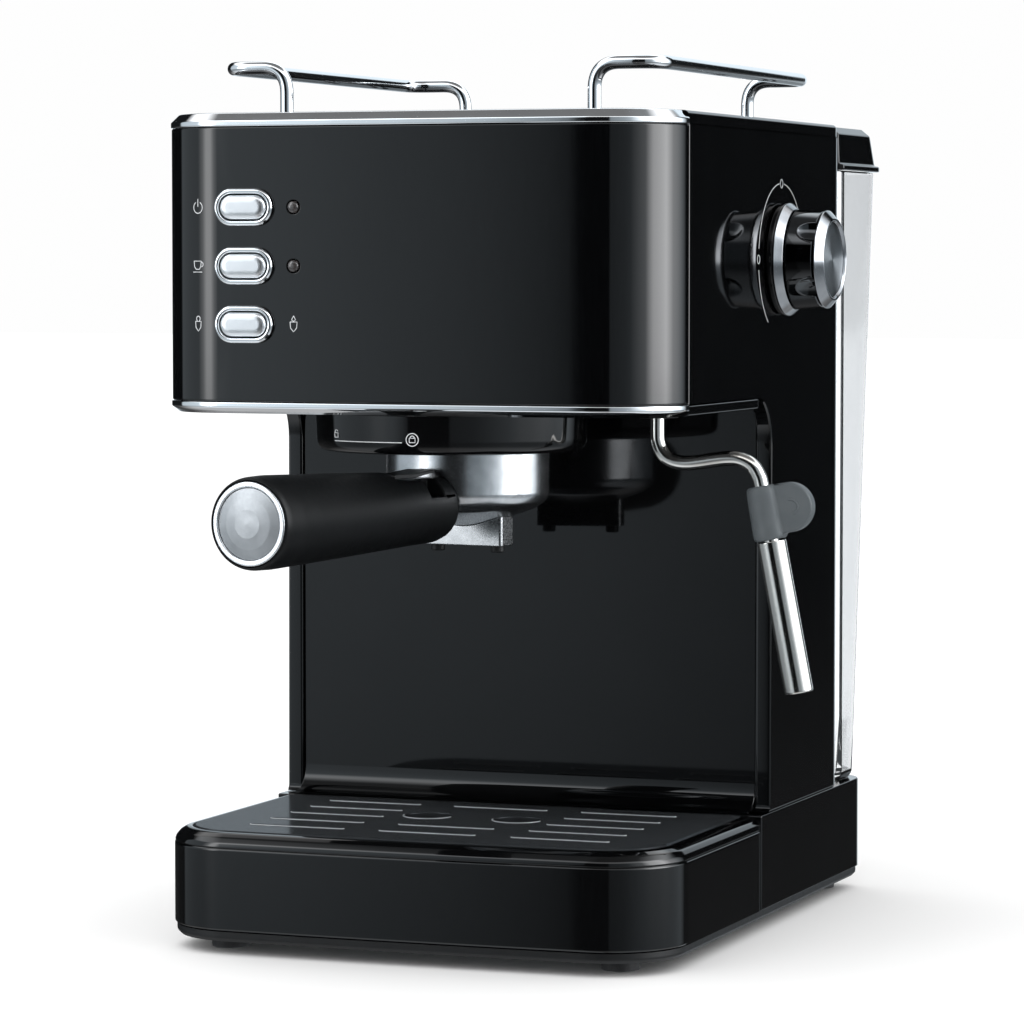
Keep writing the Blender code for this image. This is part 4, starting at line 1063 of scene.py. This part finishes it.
def add_front_panel():
    bottom = low("front_panel").z
    profile = ((0.0004, bottom), (0, bottom + 0.0004), (0, PANEL_TOP - 0.0004), (0.0004, PANEL_TOP))

    def on_front(centre):
        return centre.y < 0.0003 and abs(centre.x) < 0.075 and bottom + 0.002 < centre.z < PANEL_TOP - 0.002

    piece("front_panel", band(profile, WRAP_THICKNESS, 0.0003), "satin_black", cuts=(control_holes(0.0),),
          soft=(0.0004, on_front))


def add_trims():
    """The bright strips round the front: an upright face, and a bevel on the side away from the panel."""
    bottom, top = low("bottom_trim").z, high("bottom_trim").z
    profile = ((0.0026, bottom), (-0.0003, bottom + 0.0022), (-0.0003, top), (0.0003, top + 0.0002))
    piece("bottom_trim", band(profile, 0.0030, 0.0004), "chrome")
    bottom, bevel = low("top_trim").z, HEAD_TOP - 0.0032
    profile = ((0.0003, bottom - 0.0002), (-0.0003, bottom), (-0.0003, bevel), (0.0028, HEAD_TOP - 0.0002),
               (0.0040, HEAD_TOP - 0.0001))
    piece("top_trim", band(profile, 0.0048, 0.0004), "chrome")


def add_head_floor():
    """The underside of the head, with the openings for the brew group and the steam wand."""
    def outline(inset):
        return plan(LEDGE_END, 0.001, inset)

    tongue_half = HALF_WIDTH - PILLAR - 0.001
    slab = stack(outline, ((0.0006, HEAD_BOTTOM), (0, HEAD_BOTTOM + 0.0006), (0, FLOOR_TOP - 0.0006),
                           (0.0006, FLOOR_TOP)),
                 0.0004)
    tongue = prism(rounded_box(-tongue_half, tongue_half, 0.100, high("head_floor").y, 0.001, 3),
                   HEAD_BOTTOM, FLOOR_TOP)
    piece("head_floor", slab, "gloss_black", joins=(tongue,), cuts=(
        wrap(0.0030 + GAP, -0.004, 0.190, 0.210, 0.0003),
        [shifted(prism(circle(0.0450, 96), 0.190, 0.210), 0, GROUP_Y),
         shifted(prism(circle(0.0085), 0.190, 0.210), WAND_X, WAND_Y)],
    ))


def add_top_cover():
    def outline(inset):
        return plan(HEAD_REAR, HEAD_REAR_RADIUS, inset)

    profile = ((0.0003, PANEL_TOP + GAP), (0.0003, HEAD_TOP - 0.0012), (0.0014, HEAD_TOP - 0.0002),
               (0.0050, HEAD_TOP), (0.0075, HEAD_TOP), (0.0085, HEAD_TOP - 0.0012))
    posts = [shifted(prism(circle(RAIL_RADIUS + GAP, 32), 0.300, 0.320), x, y)
             for x in (-RAIL_POST_X, RAIL_POST_X) for y in (RAIL_FRONT, RAIL_BACK)]
    piece("top_cover", stack(outline, profile, 0.0005), "gloss_black", cuts=(
        wrap(0.0048 + GAP, -0.004, 0.300, 0.320, 0.0003), posts))


def add_cup_rails():
    for name, side in (("cup_rail_left", -1), ("cup_rail_right", 1)):
        post, run, foot = side * RAIL_POST_X, side * RAIL_RUN_X, low(name).z
        corners = [
            (post, RAIL_FRONT, foot), (post, RAIL_FRONT, RAIL_HEIGHT), (run, RAIL_FRONT, RAIL_HEIGHT),
            (run, RAIL_BACK, RAIL_HEIGHT), (post, RAIL_BACK, RAIL_HEIGHT), (post, RAIL_BACK, foot),
        ]
        wire(name, [rounded_path(corners, 0.0095)], RAIL_RADIUS, "chrome", resolution=10)


# ---------------------------------------------------------------- controls

def add_buttons():
    for label, z in zip(BUTTONS, BUTTON_Z):
        spot = at(BUTTON_X, 0, z) @ TOWARDS_FRONT

        def outline(inset):
            return stadium(0.0116 - inset, 0.0069 - inset)

        bezel = ((0.0020, -0.0060), (0.0010, -0.0060), (0.0010, 0.0010), (0, 0.0010), (0, 0.0020),
                 (0.0007, 0.0027), (0.0016, 0.0027), (0.0020, 0.0022))
        piece(label + "_button_bezel", stack(outline, bezel, 0.0005, True), "chrome", place=spot)
        key = ((0.0024, -0.0085), (0.0024, 0.0022), (0.0034, 0.0032), (0.0052, 0.0035))
        piece(label + "_button", stack(outline, key, 0.0008), "silver_keys", place=spot)


def add_lamps():
    profile = ((0.0022, -0.0060), (0.0022, 0.0010), (0.0018, 0.0017), (0.0009, 0.0020), (0.00001, 0.0020))
    for name, z in zip(("power_lamp", "ready_lamp"), BUTTON_Z):
        piece(name, turned(profile, 0.0004, steps=40), "lamp_lens", place=at(LAMP_X, 0, z) @ TOWARDS_FRONT)


PRINT = 0.00017


def printed(name, strokes, centre, z):
    """A printed mark on the front panel: strokes of (across, up) in metres round a place on its surface."""
    paths = [[front_point(centre + u, z + v, -PRINT * 0.4) for u, v in stroke] for stroke in strokes]
    wire(name, paths, PRINT, "printed_white", "machine", (), 3)


def add_printed_marks():
    """Plain pictograms beside the buttons: power, a cup, and a milk jug with and without steam."""
    along = -0.0795
    ring = arc((0, 0), 0.0021, 118, 422, 20)
    printed("power_mark", [ring, [(0, 0.0003), (0, 0.0031)]], along, BUTTON_Z[0])
    cup = [(-0.0020, 0.0018), (-0.0018, -0.0002), (-0.0010, -0.0012), (0.0006, -0.0012),
           (0.0013, -0.0002), (0.0015, 0.0018),
           (-0.0020, 0.0018)]
    handle = arc((0.0015, 0.0006), 0.0009, 80, -80, 8)
    printed("cup_mark", [cup, handle, [(-0.0024, -0.0022), (0.0020, -0.0022)]], along, BUTTON_Z[1])
    jug = [(-0.0014, 0.0010), (0.0014, 0.0010), (0.0012, -0.0012), (0.0, -0.0026), (-0.0012, -0.0012),
           (-0.0014, 0.0010)]
    printed("steam_mark", [jug, arc((0, 0.0020), 0.0009, -60, 240, 14)], along, BUTTON_Z[2])
    drop = [(0, 0.0032), (0.0008, 0.0018), (0, 0.0012), (-0.0008, 0.0018), (0, 0.0032)]
    printed("steam_ready_mark", [jug, drop], LAMP_X, BUTTON_Z[2])


SCALLOP_RADIUS = 0.0068
SCALLOP_LENGTH = 0.0088


def add_steam_knob():
    """Everything on the knob's axis: heights run outward from the side panel."""
    spot = at(HALF_WIDTH, KNOB_Y, KNOB_Z) @ turn("Y", 90)
    base = ((0.0150, 0.0005), (0.0208, 0.0005), (0.0213, 0.0010), (0.0213, 0.0028), (0.0150, 0.0028))
    piece("knob_skirt_base", turned(base, 0.0004, True, ROUND_STEPS), "gloss_black", "steam_knob",
          ("knob_skirt",), spot)
    bevel = ((0.0188, 0.0031), (0.0212, 0.0031), (0.0215, 0.0034), (0.0190, 0.0064), (0.0187, 0.0061))
    piece("knob_skirt_bevel", turned(bevel, 0.0003, True, ROUND_STEPS), "smoked_chrome", "steam_knob",
          ("knob_skirt",), spot)
    body = ((0.0144, 0.0007), (0.0144, 0.0049), (0.0183, 0.0049), (0.0183, 0.0066), (0.0190, 0.0070),
            (0.0181, 0.0172), (0.0158, 0.0179))
    scallop = turned([(SCALLOP_RADIUS * math.cos(a), SCALLOP_LENGTH * math.sin(a))
                      for a in (math.radians(-88 + 8 * i) for i in range(23))], steps=40)
    scallops = [moved(scallop, turn("Z", 90 + 72 * i) @ at(0.0226, 0, 0.0178)) for i in range(5)]

    def on_scallop(centre):
        reach = math.hypot(centre.y - KNOB_Y, centre.z - KNOB_Z)
        return reach > 0.0165 and HALF_WIDTH + 0.0075 < centre.x < HALF_WIDTH + 0.0170

    piece("knob_body", turned(body, 0.0005, steps=120), "knob_black", place=spot,
          cuts=(scallops, prism(circle(0.0052), -0.0020, 0.0100)), soft=(0.0005, on_scallop))
    ring = ((0.0158, 0.0182), (0.0180, 0.0179), (0.0186, 0.0182), (0.0186, 0.0185), (0.0154, 0.0214),
            (0.0148, 0.0214), (0.0139, 0.0203), (0.0145, 0.0190))
    piece("knob_face_ring", turned(ring, 0.0003, True, ROUND_STEPS), "smoked_chrome", "steam_knob",
          ("knob_cap",), spot)
    disc = ((0.0150, 0.0184), (0.0144, 0.0192), (0.0138, 0.0203), (0.0070, 0.0203), (0.00002, 0.0203))
    piece("knob_face_disc", turned(disc, 0.0001, False, ROUND_STEPS), "spun_disc", "steam_knob",
          ("knob_cap",), spot)
    add_knob_scale()


def add_knob_scale():
    """The printed ring on the side panel, broken at its two end marks."""
    radius = 0.0288
    x = HALF_WIDTH - PRINT * 0.4

    def ring_arc(centre, size, start, end, steps=28, squash=1.0):
        return [(x, centre[0] + size * math.cos(math.radians(start + (end - start) * i / steps)) * squash,
                 centre[1] + size * math.sin(math.radians(start + (end - start) * i / steps)))
                 for i in range(steps + 1)]

    centre = (KNOB_Y, KNOB_Z)
    arcs = [ring_arc(centre, radius, 30, 84), ring_arc(centre, radius, 96, 172),
            ring_arc(centre, radius, 188, 235)]
    marks = [ring_arc((KNOB_Y, KNOB_Z + radius), 0.0016, 0, 360, 20),
             ring_arc((KNOB_Y - radius, KNOB_Z), 0.0016, 0, 360, 20)]
    wire("knob_scale", arcs + marks, PRINT, "printed_white", "machine", (), 3)


# ---------------------------------------------------------------- brew group

def collar_point(angle, inset=0.0):
    """A point of the collar's outline, by its angle in degrees: a large circle, and a smaller one behind."""
    turn_over = math.degrees(math.acos((COLLAR_RADIUS - COLLAR_BACK_RADIUS) / (COLLAR_BACK_Y - COLLAR_Y)))
    behind = abs(angle - 90) < turn_over
    radius = (COLLAR_BACK_RADIUS if behind else COLLAR_RADIUS) - inset
    centre_y = COLLAR_BACK_Y if behind else COLLAR_Y
    a = math.radians(angle)
    return radius * math.cos(a), centre_y + radius * math.sin(a)


def add_collar():
    top = high("group_collar").z
    angles = [360 * i / COLLAR_STEPS for i in range(COLLAR_STEPS)]
    profile = ((0.0, top), (0.0004, 0.1892), (0.0007, 0.1874), (0.0016, 0.1860), (0.0034, 0.1853),
               (0.0055, COLLAR_BOTTOM))
    rings = [level([collar_point(a, p[0]) for a in angles], p[1]) for p in filleted(profile, 0.0008)]
    wide, mouth = (circle(r, COLLAR_STEPS, (0, GROUP_Y)) for r in (0.0420, 0.0350))
    inner = [level(mouth, COLLAR_BOTTOM), level(mouth, 0.1862), level(wide, 0.1862), level(wide, top)]
    piece("group_collar", loft(rings + inner, True), "gloss_black")
    add_collar_marks()


def add_collar_marks():
    """The printed guide for locking the filter holder: a line between an open and a closed padlock."""
    def on_collar(angle, z):
        return (*collar_point(angle, PRINT * 0.4), z)

    def run(start, end, z, steps=24):
        return [on_collar(start + (end - start) * i / steps, z) for i in range(steps + 1)]

    def drawn(angle, z, stroke):
        scale = math.degrees(1 / COLLAR_RADIUS)
        return [on_collar(angle + u * scale, z + v) for u, v in stroke]

    box = [(-0.0011, -0.0012), (0.0011, -0.0012), (0.0011, 0.0004), (-0.0011, 0.0004), (-0.0011, -0.0012)]
    open_bow = arc((0.0, 0.0006), 0.0009, 200, 20, 10)
    shut_bow = arc((0.0, 0.0004), 0.0008, 180, 0, 10)
    paths = [run(234, 270.5, 0.1897)]
    paths += [drawn(235, 0.1922, stroke) for stroke in (box, open_bow)]
    paths += [drawn(275, 0.1910, stroke)
              for stroke in (box, shut_bow, arc((0, -0.0002), 0.0023, 0, 360, 24))]
    wire("locking_marks", paths, PRINT, "printed_white", "machine", (), 3)


def add_group():
    spot = at(0, GROUP_Y, 0)
    add_collar()
    ring = ((0.0312, 0.1865), (0.0412, 0.1865), (0.0412, 0.2120), (0.0312, 0.2120), (0.0312, 0.1940),
            (0.0355, 0.1940), (0.0355, 0.1886), (0.0312, 0.1886))
    ways = [prism(rounded_box(-0.0065, 0.0065, y - 0.004, y + 0.004, 0.001, 4), 0.180, 0.190)
            for y in (-0.032, 0.032)]
    piece("group_ring", turned(ring, 0.0003, True, 96), "aluminium", place=spot,
          cuts=([moved(way, turn("Z", -44)) for way in ways],))
    gasket = ((0.0248, 0.1952), (0.0308, 0.1952), (0.0308, 0.2010), (0.0248, 0.2010))
    piece("group_gasket", turned(gasket, 0.0006, True), "black_rubber", place=spot)
    screen = ((0.00002, 0.1934), (0.0225, 0.1935), (0.0236, 0.1940), (0.0236, 0.1960), (0.0060, 0.1965))
    holes = [moved(prism(circle(0.0006, 10), 0.180, 0.1945),
                   turn("Z", 360 * i / (8 * k)) @ at(0.0034 * k, 0, 0))
             for k in range(1, 7) for i in range(8 * k)]
    piece("shower_screen", turned(screen, 0.0003), "steel", place=spot, cuts=(holes,))


def portafilter_place():
    return at(0, GROUP_Y, 0) @ turn("Z", -HANDLE_TURN)


def add_portafilter():
    """The filter holder in its locked place: its own -Y points along the handle."""
    spot = portafilter_place()
    underside = ((BOWL_RADIUS, 0.1680), (0.0290, 0.1652), (0.0250, 0.1625), (0.0166, 0.1598),
                 (0.0080, 0.1570),
                 (0.0040, 0.1562))
    inside = ((0.0040, 0.1590), (0.0120, 0.1615), (0.0250, 0.1665), (0.0270, 0.1690), (0.0270, 0.1935))
    lug = rounded_box(-0.0055, 0.0055, 0.0285, 0.0345, 0.001, 5)
    neck = moved(prism(rounded_box(-0.0070, 0.0070, 0.1600, 0.1690, 0.002), 0.0270, 0.0440), TOWARDS_FRONT)
    bowl = turned(((BOWL_RADIUS, 0.1935),) + underside + inside, 0.0012, True, 128)
    piece("portafilter_bowl", bowl, "cast_chrome", place=spot, joins=(
        prism(lug, 0.1890, 0.1932), prism([(-x, -y) for x, y in lug], 0.1890, 0.1932), neck))
    basket = ((0.0298, 0.1938), (0.0298, 0.1948), (0.0253, 0.1948), (0.0248, 0.1730), (0.0010, 0.1722),
              (0.0010, 0.1712), (0.0255, 0.1718), (0.0262, 0.1938))
    piece("filter_basket", turned(basket, 0.0004, True, 96), "steel", place=spot)
    add_spouts(spot, underside)
    add_handle(spot)


def add_spouts(spot, underside):
    """A metal cover under the bowl, and the dark twin spout that pokes out below it."""
    bottom, length, depth = SPOUT_BOTTOM, SPOUT_HALF_LENGTH, SPOUT_HALF_DEPTH
    dome = [(radius, height - GAP / 3) for radius, height in filleted(underside, 0.0012)]
    cutter = turned([(0.0400, 0.1750), (0.0400, dome[0][1])] + dome, steps=128)
    pocket = rounded_box(-length + 0.0014, length - 0.0014, -depth + 0.0014, depth - 0.0014, 0.0010, 5)

    def on_block(centre):
        return centre.z < 0.1660

    piece("spout_cover", prism(rounded_box(-length, length, -depth, depth, 0.0012), bottom, 0.1680),
          "dull_casting",
          place=spot, cuts=(cutter, prism(pocket, 0.140, bottom + 0.0040),
                            prism(circle(0.0026), 0.140, 0.170)),
          soft=(0.0003, on_block))
    inner = 0.0017
    bar = rounded_box(-length + inner, length - inner, -depth + inner, depth - inner, 0.0008, 5)
    nozzle = turned(((0.0022, bottom - 0.0026), (0.0026, bottom - 0.0022), (0.0026, bottom + 0.0020)),
                    0.0002, steps=40)
    bore = prism(circle(0.0016, 40), 0.140, bottom + 0.0022)
    sides = (-NOZZLE_X, NOZZLE_X)
    piece("twin_spout", prism(bar, bottom + 0.0004, bottom + 0.0036), "matte_black", place=spot,
          joins=([shifted(nozzle, x) for x in sides],),
          cuts=([shifted(bore, x) for x in sides], prism(circle(0.0022), bottom + 0.0014, 0.170)))


def add_handle(spot):
    """Grip, end ring, end cap and basket clip. Heights of the turned pieces run out from the brew axis."""
    along = spot @ at(0, 0, HANDLE_Z) @ TOWARDS_FRONT
    upright = along.inverted() @ spot
    end = HANDLE_REACH
    grip = ((0.0112, 0.0250), (0.0132, 0.0290), (0.0136, 0.0480), (0.0142, 0.0650), (0.0152, 0.0950),
            (0.0161, 0.1250), (0.0165, end - 0.0120), (0.0163, end - 0.0034), (0.0158, end - 0.0016),
            (0.0152, end - 0.0013), (0.0150, end - 0.0020), (0.0150, end - 0.0040))
    bowl_seat = prism(circle(BOWL_RADIUS + 0.0007, 128), 0.140, 0.190)
    clip_seat = prism(rounded_box(-0.0080, 0.0080, -0.0640, -0.0200, 0.001, 4), 0.1755, 0.190)
    socket = moved(prism(rounded_box(-0.0073, 0.0073, 0.1597, 0.1693, 0.002), 0.0200, 0.0443),
                   TOWARDS_FRONT)
    notch = prism(rounded_box(0.0045, 0.0200, -0.0475, -0.0375, 0.0008, 4), 0.1690, 0.1765)
    piece("portafilter_handle", turned(grip, 0.0012, steps=96), "grip_black", place=along,
          cuts=[moved(cutter, upright) for cutter in (bowl_seat, socket, clip_seat, notch)],
          soft=(0.0008,))
    ring = ((0.0126, end - 0.0037), (0.0148, end - 0.0037), (0.0148, end - 0.0016), (0.0145, end - 0.0010),
            (0.0129, end - 0.0010), (0.0126, end - 0.0014))
    piece("handle_end_ring", turned(ring, 0.0003, True, ROUND_STEPS), "cap_ring", "portafilter",
          ("handle_end_cap",), along)
    dish = ((0.0125, end - 0.0036), (0.0125, end - 0.0016), (0.0090, end - 0.0008), (0.0050, end - 0.0002),
            (0.00002, end))
    piece("handle_end_dish", turned(dish, 0.0002, False, ROUND_STEPS), "satin_cap", "portafilter",
          ("handle_end_cap",), along)
    hinge = spot @ at(0, -0.0600, 0.1775)
    lever = [(-0.0022, -0.0014), (0.0120, -0.0014), (0.0260, 0.0002), (0.0262, 0.0012), (0.0120, 0.0002),
             (-0.0010, 0.0005), (-0.0022, 0.0)]
    piece("basket_clip", prism_x(lever, -0.0060, 0.0060), "matte_black", place=hinge, soft=(0.0003,))


# ---------------------------------------------------------------- steam wand

def wand_route():
    """Down out of the head, across to the side, and down again along the tilted sleeve."""
    points = [
        (0.0760, 0.2075), (0.0760, 0.2000), (0.0760, 0.1930), (0.0762, 0.1890), (0.0775, 0.1855),
        (0.0800, 0.1828), (0.0840, 0.1813), (0.0885, 0.1811), (0.0935, 0.1817), (0.0985, 0.1825),
        (0.1030, 0.1830), (0.1070, 0.1829), (0.1105, 0.1818), (0.1132, 0.1798), (0.1149, 0.1770),
    ]
    top = Vector(SLEEVE_TOP)
    down = Vector((math.sin(math.radians(WAND_TILT)), -math.cos(math.radians(WAND_TILT))))
    points += [tuple(top + down * s) for s in (-0.0215, -0.010, 0.015, 0.0470)]
    return smooth_path([(x, WAND_Y, z) for x, z in points])


def add_wand():
    wire("steam_wand", [wand_route()], WAND_RADIUS, "steel", resolution=8)
    nut = ((0.0031, 0.1975), (0.0078, 0.1975), (0.0078, 0.2050), (0.0031, 0.2050))
    piece("wand_nut", turned(nut, 0.0006, True), "matte_black", place=at(WAND_X, WAND_Y, 0))
    tilt = at(SLEEVE_TOP[0], WAND_Y, SLEEVE_TOP[1]) @ turn("Y", -WAND_TILT)
    tube = ((0.0031, 0.0006), (0.0058, 0.0006), (0.0063, 0.0022), (0.0060, 0.0180), (0.0054, 0.0205),
            (0.0031, 0.0205))
    ear_outline = [(-0.0040, 0.0021)] + arc((0.0092, 0.0112), 0.0091, -90, 90, 36) + [(-0.0040, 0.0203)]
    ear = moved(prism(ear_outline, -0.0028, 0.0028), TOWARDS_FRONT)

    def on_ear(centre):
        return centre.x > SLEEVE_TOP[0] + 0.0005

    piece("wand_grip", turned(tube, 0.0010, True), "grey_silicone", place=tilt, joins=(ear,),
          cuts=(prism(circle(0.0031), -0.010, 0.040),), soft=(0.0009, on_ear), sharp=50)
    mark = [tilt @ Vector((0.0104 + x, -0.0027, 0.0112 + z)) for x, z in arc((0, 0), 0.0026, -80, 100, 16)]
    wire("grip_thumb_mark", [mark], 0.00045, "grey_silicone", "steam_wand", ())
    sleeve = ((0.0031, 0.0), (0.0053, 0.0), (0.0053, 0.0004 - SLEEVE_LENGTH), (0.0050, -SLEEVE_LENGTH),
              (0.0046, -SLEEVE_LENGTH), (0.0046, 0.0020 - SLEEVE_LENGTH), (0.0031, 0.0020 - SLEEVE_LENGTH))
    piece("froth_sleeve", turned(sleeve, 0.0004, True, 96), "steel", place=tilt)


# ---------------------------------------------------------------- water side

def add_tank():
    bottom = low("water_tank").z
    wall = 0.0022
    waist = TANK_REAR_LOW + 0.0030

    def section(point):
        inset, z, rear = point
        return level(rounded_box(-TANK_HALF + inset, TANK_HALF - inset, TANK_FRONT + inset, rear - inset,
                                 TANK_RADIUS - inset), z)

    profile = (
        (0.0012, bottom, TANK_REAR_LOW), (0, bottom + 0.0020, TANK_REAR_LOW + 0.0005), (0, 0.0690, waist),
        (0, TANK_TOP, TANK_REAR), (wall, TANK_TOP, TANK_REAR), (wall, 0.0700, waist),
        (wall + 0.0015, bottom + 0.0030, TANK_REAR_LOW + 0.0010),
    )
    tank = loft([section(point) for point in filleted(profile, 0.0008, 3)])
    piece("water_tank", tank, "clear_plastic",
          cuts=(shifted(prism(circle(0.0062), 0.040, 0.055), 0, VALVE_Y),))
    valve = ((0.0030, 0.0400), (0.0056, 0.0400), (0.0056, 0.0488), (0.0080, 0.0488), (0.0080, 0.0505),
             (0.0030, 0.0505))
    piece("tank_valve", turned(valve, 0.0004, True), "silicone_tube", place=at(0, VALVE_Y, 0))


def add_tank_lid():
    """A hollow lid that leans in at the back, with a thin flange round its foot and a finger lip."""
    def section(point):
        inset, z, lean = point
        outline = rounded_box(-TANK_HALF + inset, TANK_HALF - inset, TANK_FRONT + max(inset, 0.0),
                              LID_REAR - inset - lean, 0.010 - inset, front_radius=0.0008)
        return level(outline, z)

    seat = TANK_TOP + GAP
    profile = ((0.0022, 0.3060, 0.0060), (0.0022, seat, 0), (-0.0020, seat, 0), (-0.0020, seat + 0.0022, 0),
               (0, seat + 0.0026, 0), (0.0006, 0.3058, 0.0050), (0.0034, 0.3085, 0.0070))
    shape = loft([section(point) for point in filleted(profile, 0.0007, 3)])
    lip = prism(rounded_box(-0.040, 0.040, 0.2880, LID_LIP_REAR, 0.0035), seat, seat + 0.0024)

    def on_lip(centre):
        return centre.y > LID_REAR + 0.0025

    piece("tank_lid", shape, "gloss_black", joins=(lip,), soft=(0.0004, on_lip))


# ---------------------------------------------------------------- hidden pieces that keep their CAD shape

KEPT = {
    "control_board": "circuit_board", "valve_stem": "brass", "steam_valve": "brass",
    "boiler_lower": "aluminium", "boiler_upper": "aluminium", "pump_body": "matte_black",
    "pump_coil": "copper_coil", "pump_bracket": "steel", "suction_hose": "silicone_tube",
    "pressure_hose": "silicone_tube", "steam_pipe": "steel", "wand_feed_pipe": "steel",
}


def finish_kept_nodes():
    for name, finish in KEPT.items():
        node = frame["nodes"][name]
        node.data.materials.clear()
        node.data.materials.append(material_of(finish))


def main():
    add_camera()
    add_studio()
    add_floor()
    add_softlight("top_light", (-0.5, -0.6, 1.8), 1.6, 6.0)
    add_feet()
    add_base_plate()
    add_rear_base()
    add_drip_tray()
    add_drip_grid()
    add_body_shell()
    add_splash_panel()
    add_front_panel()
    add_trims()
    add_head_floor()
    add_top_cover()
    add_cup_rails()
    add_buttons()
    add_lamps()
    add_printed_marks()
    add_steam_knob()
    add_group()
    add_portafilter()
    add_wand()
    add_tank()
    add_tank_lid()
    finish_kept_nodes()


main()
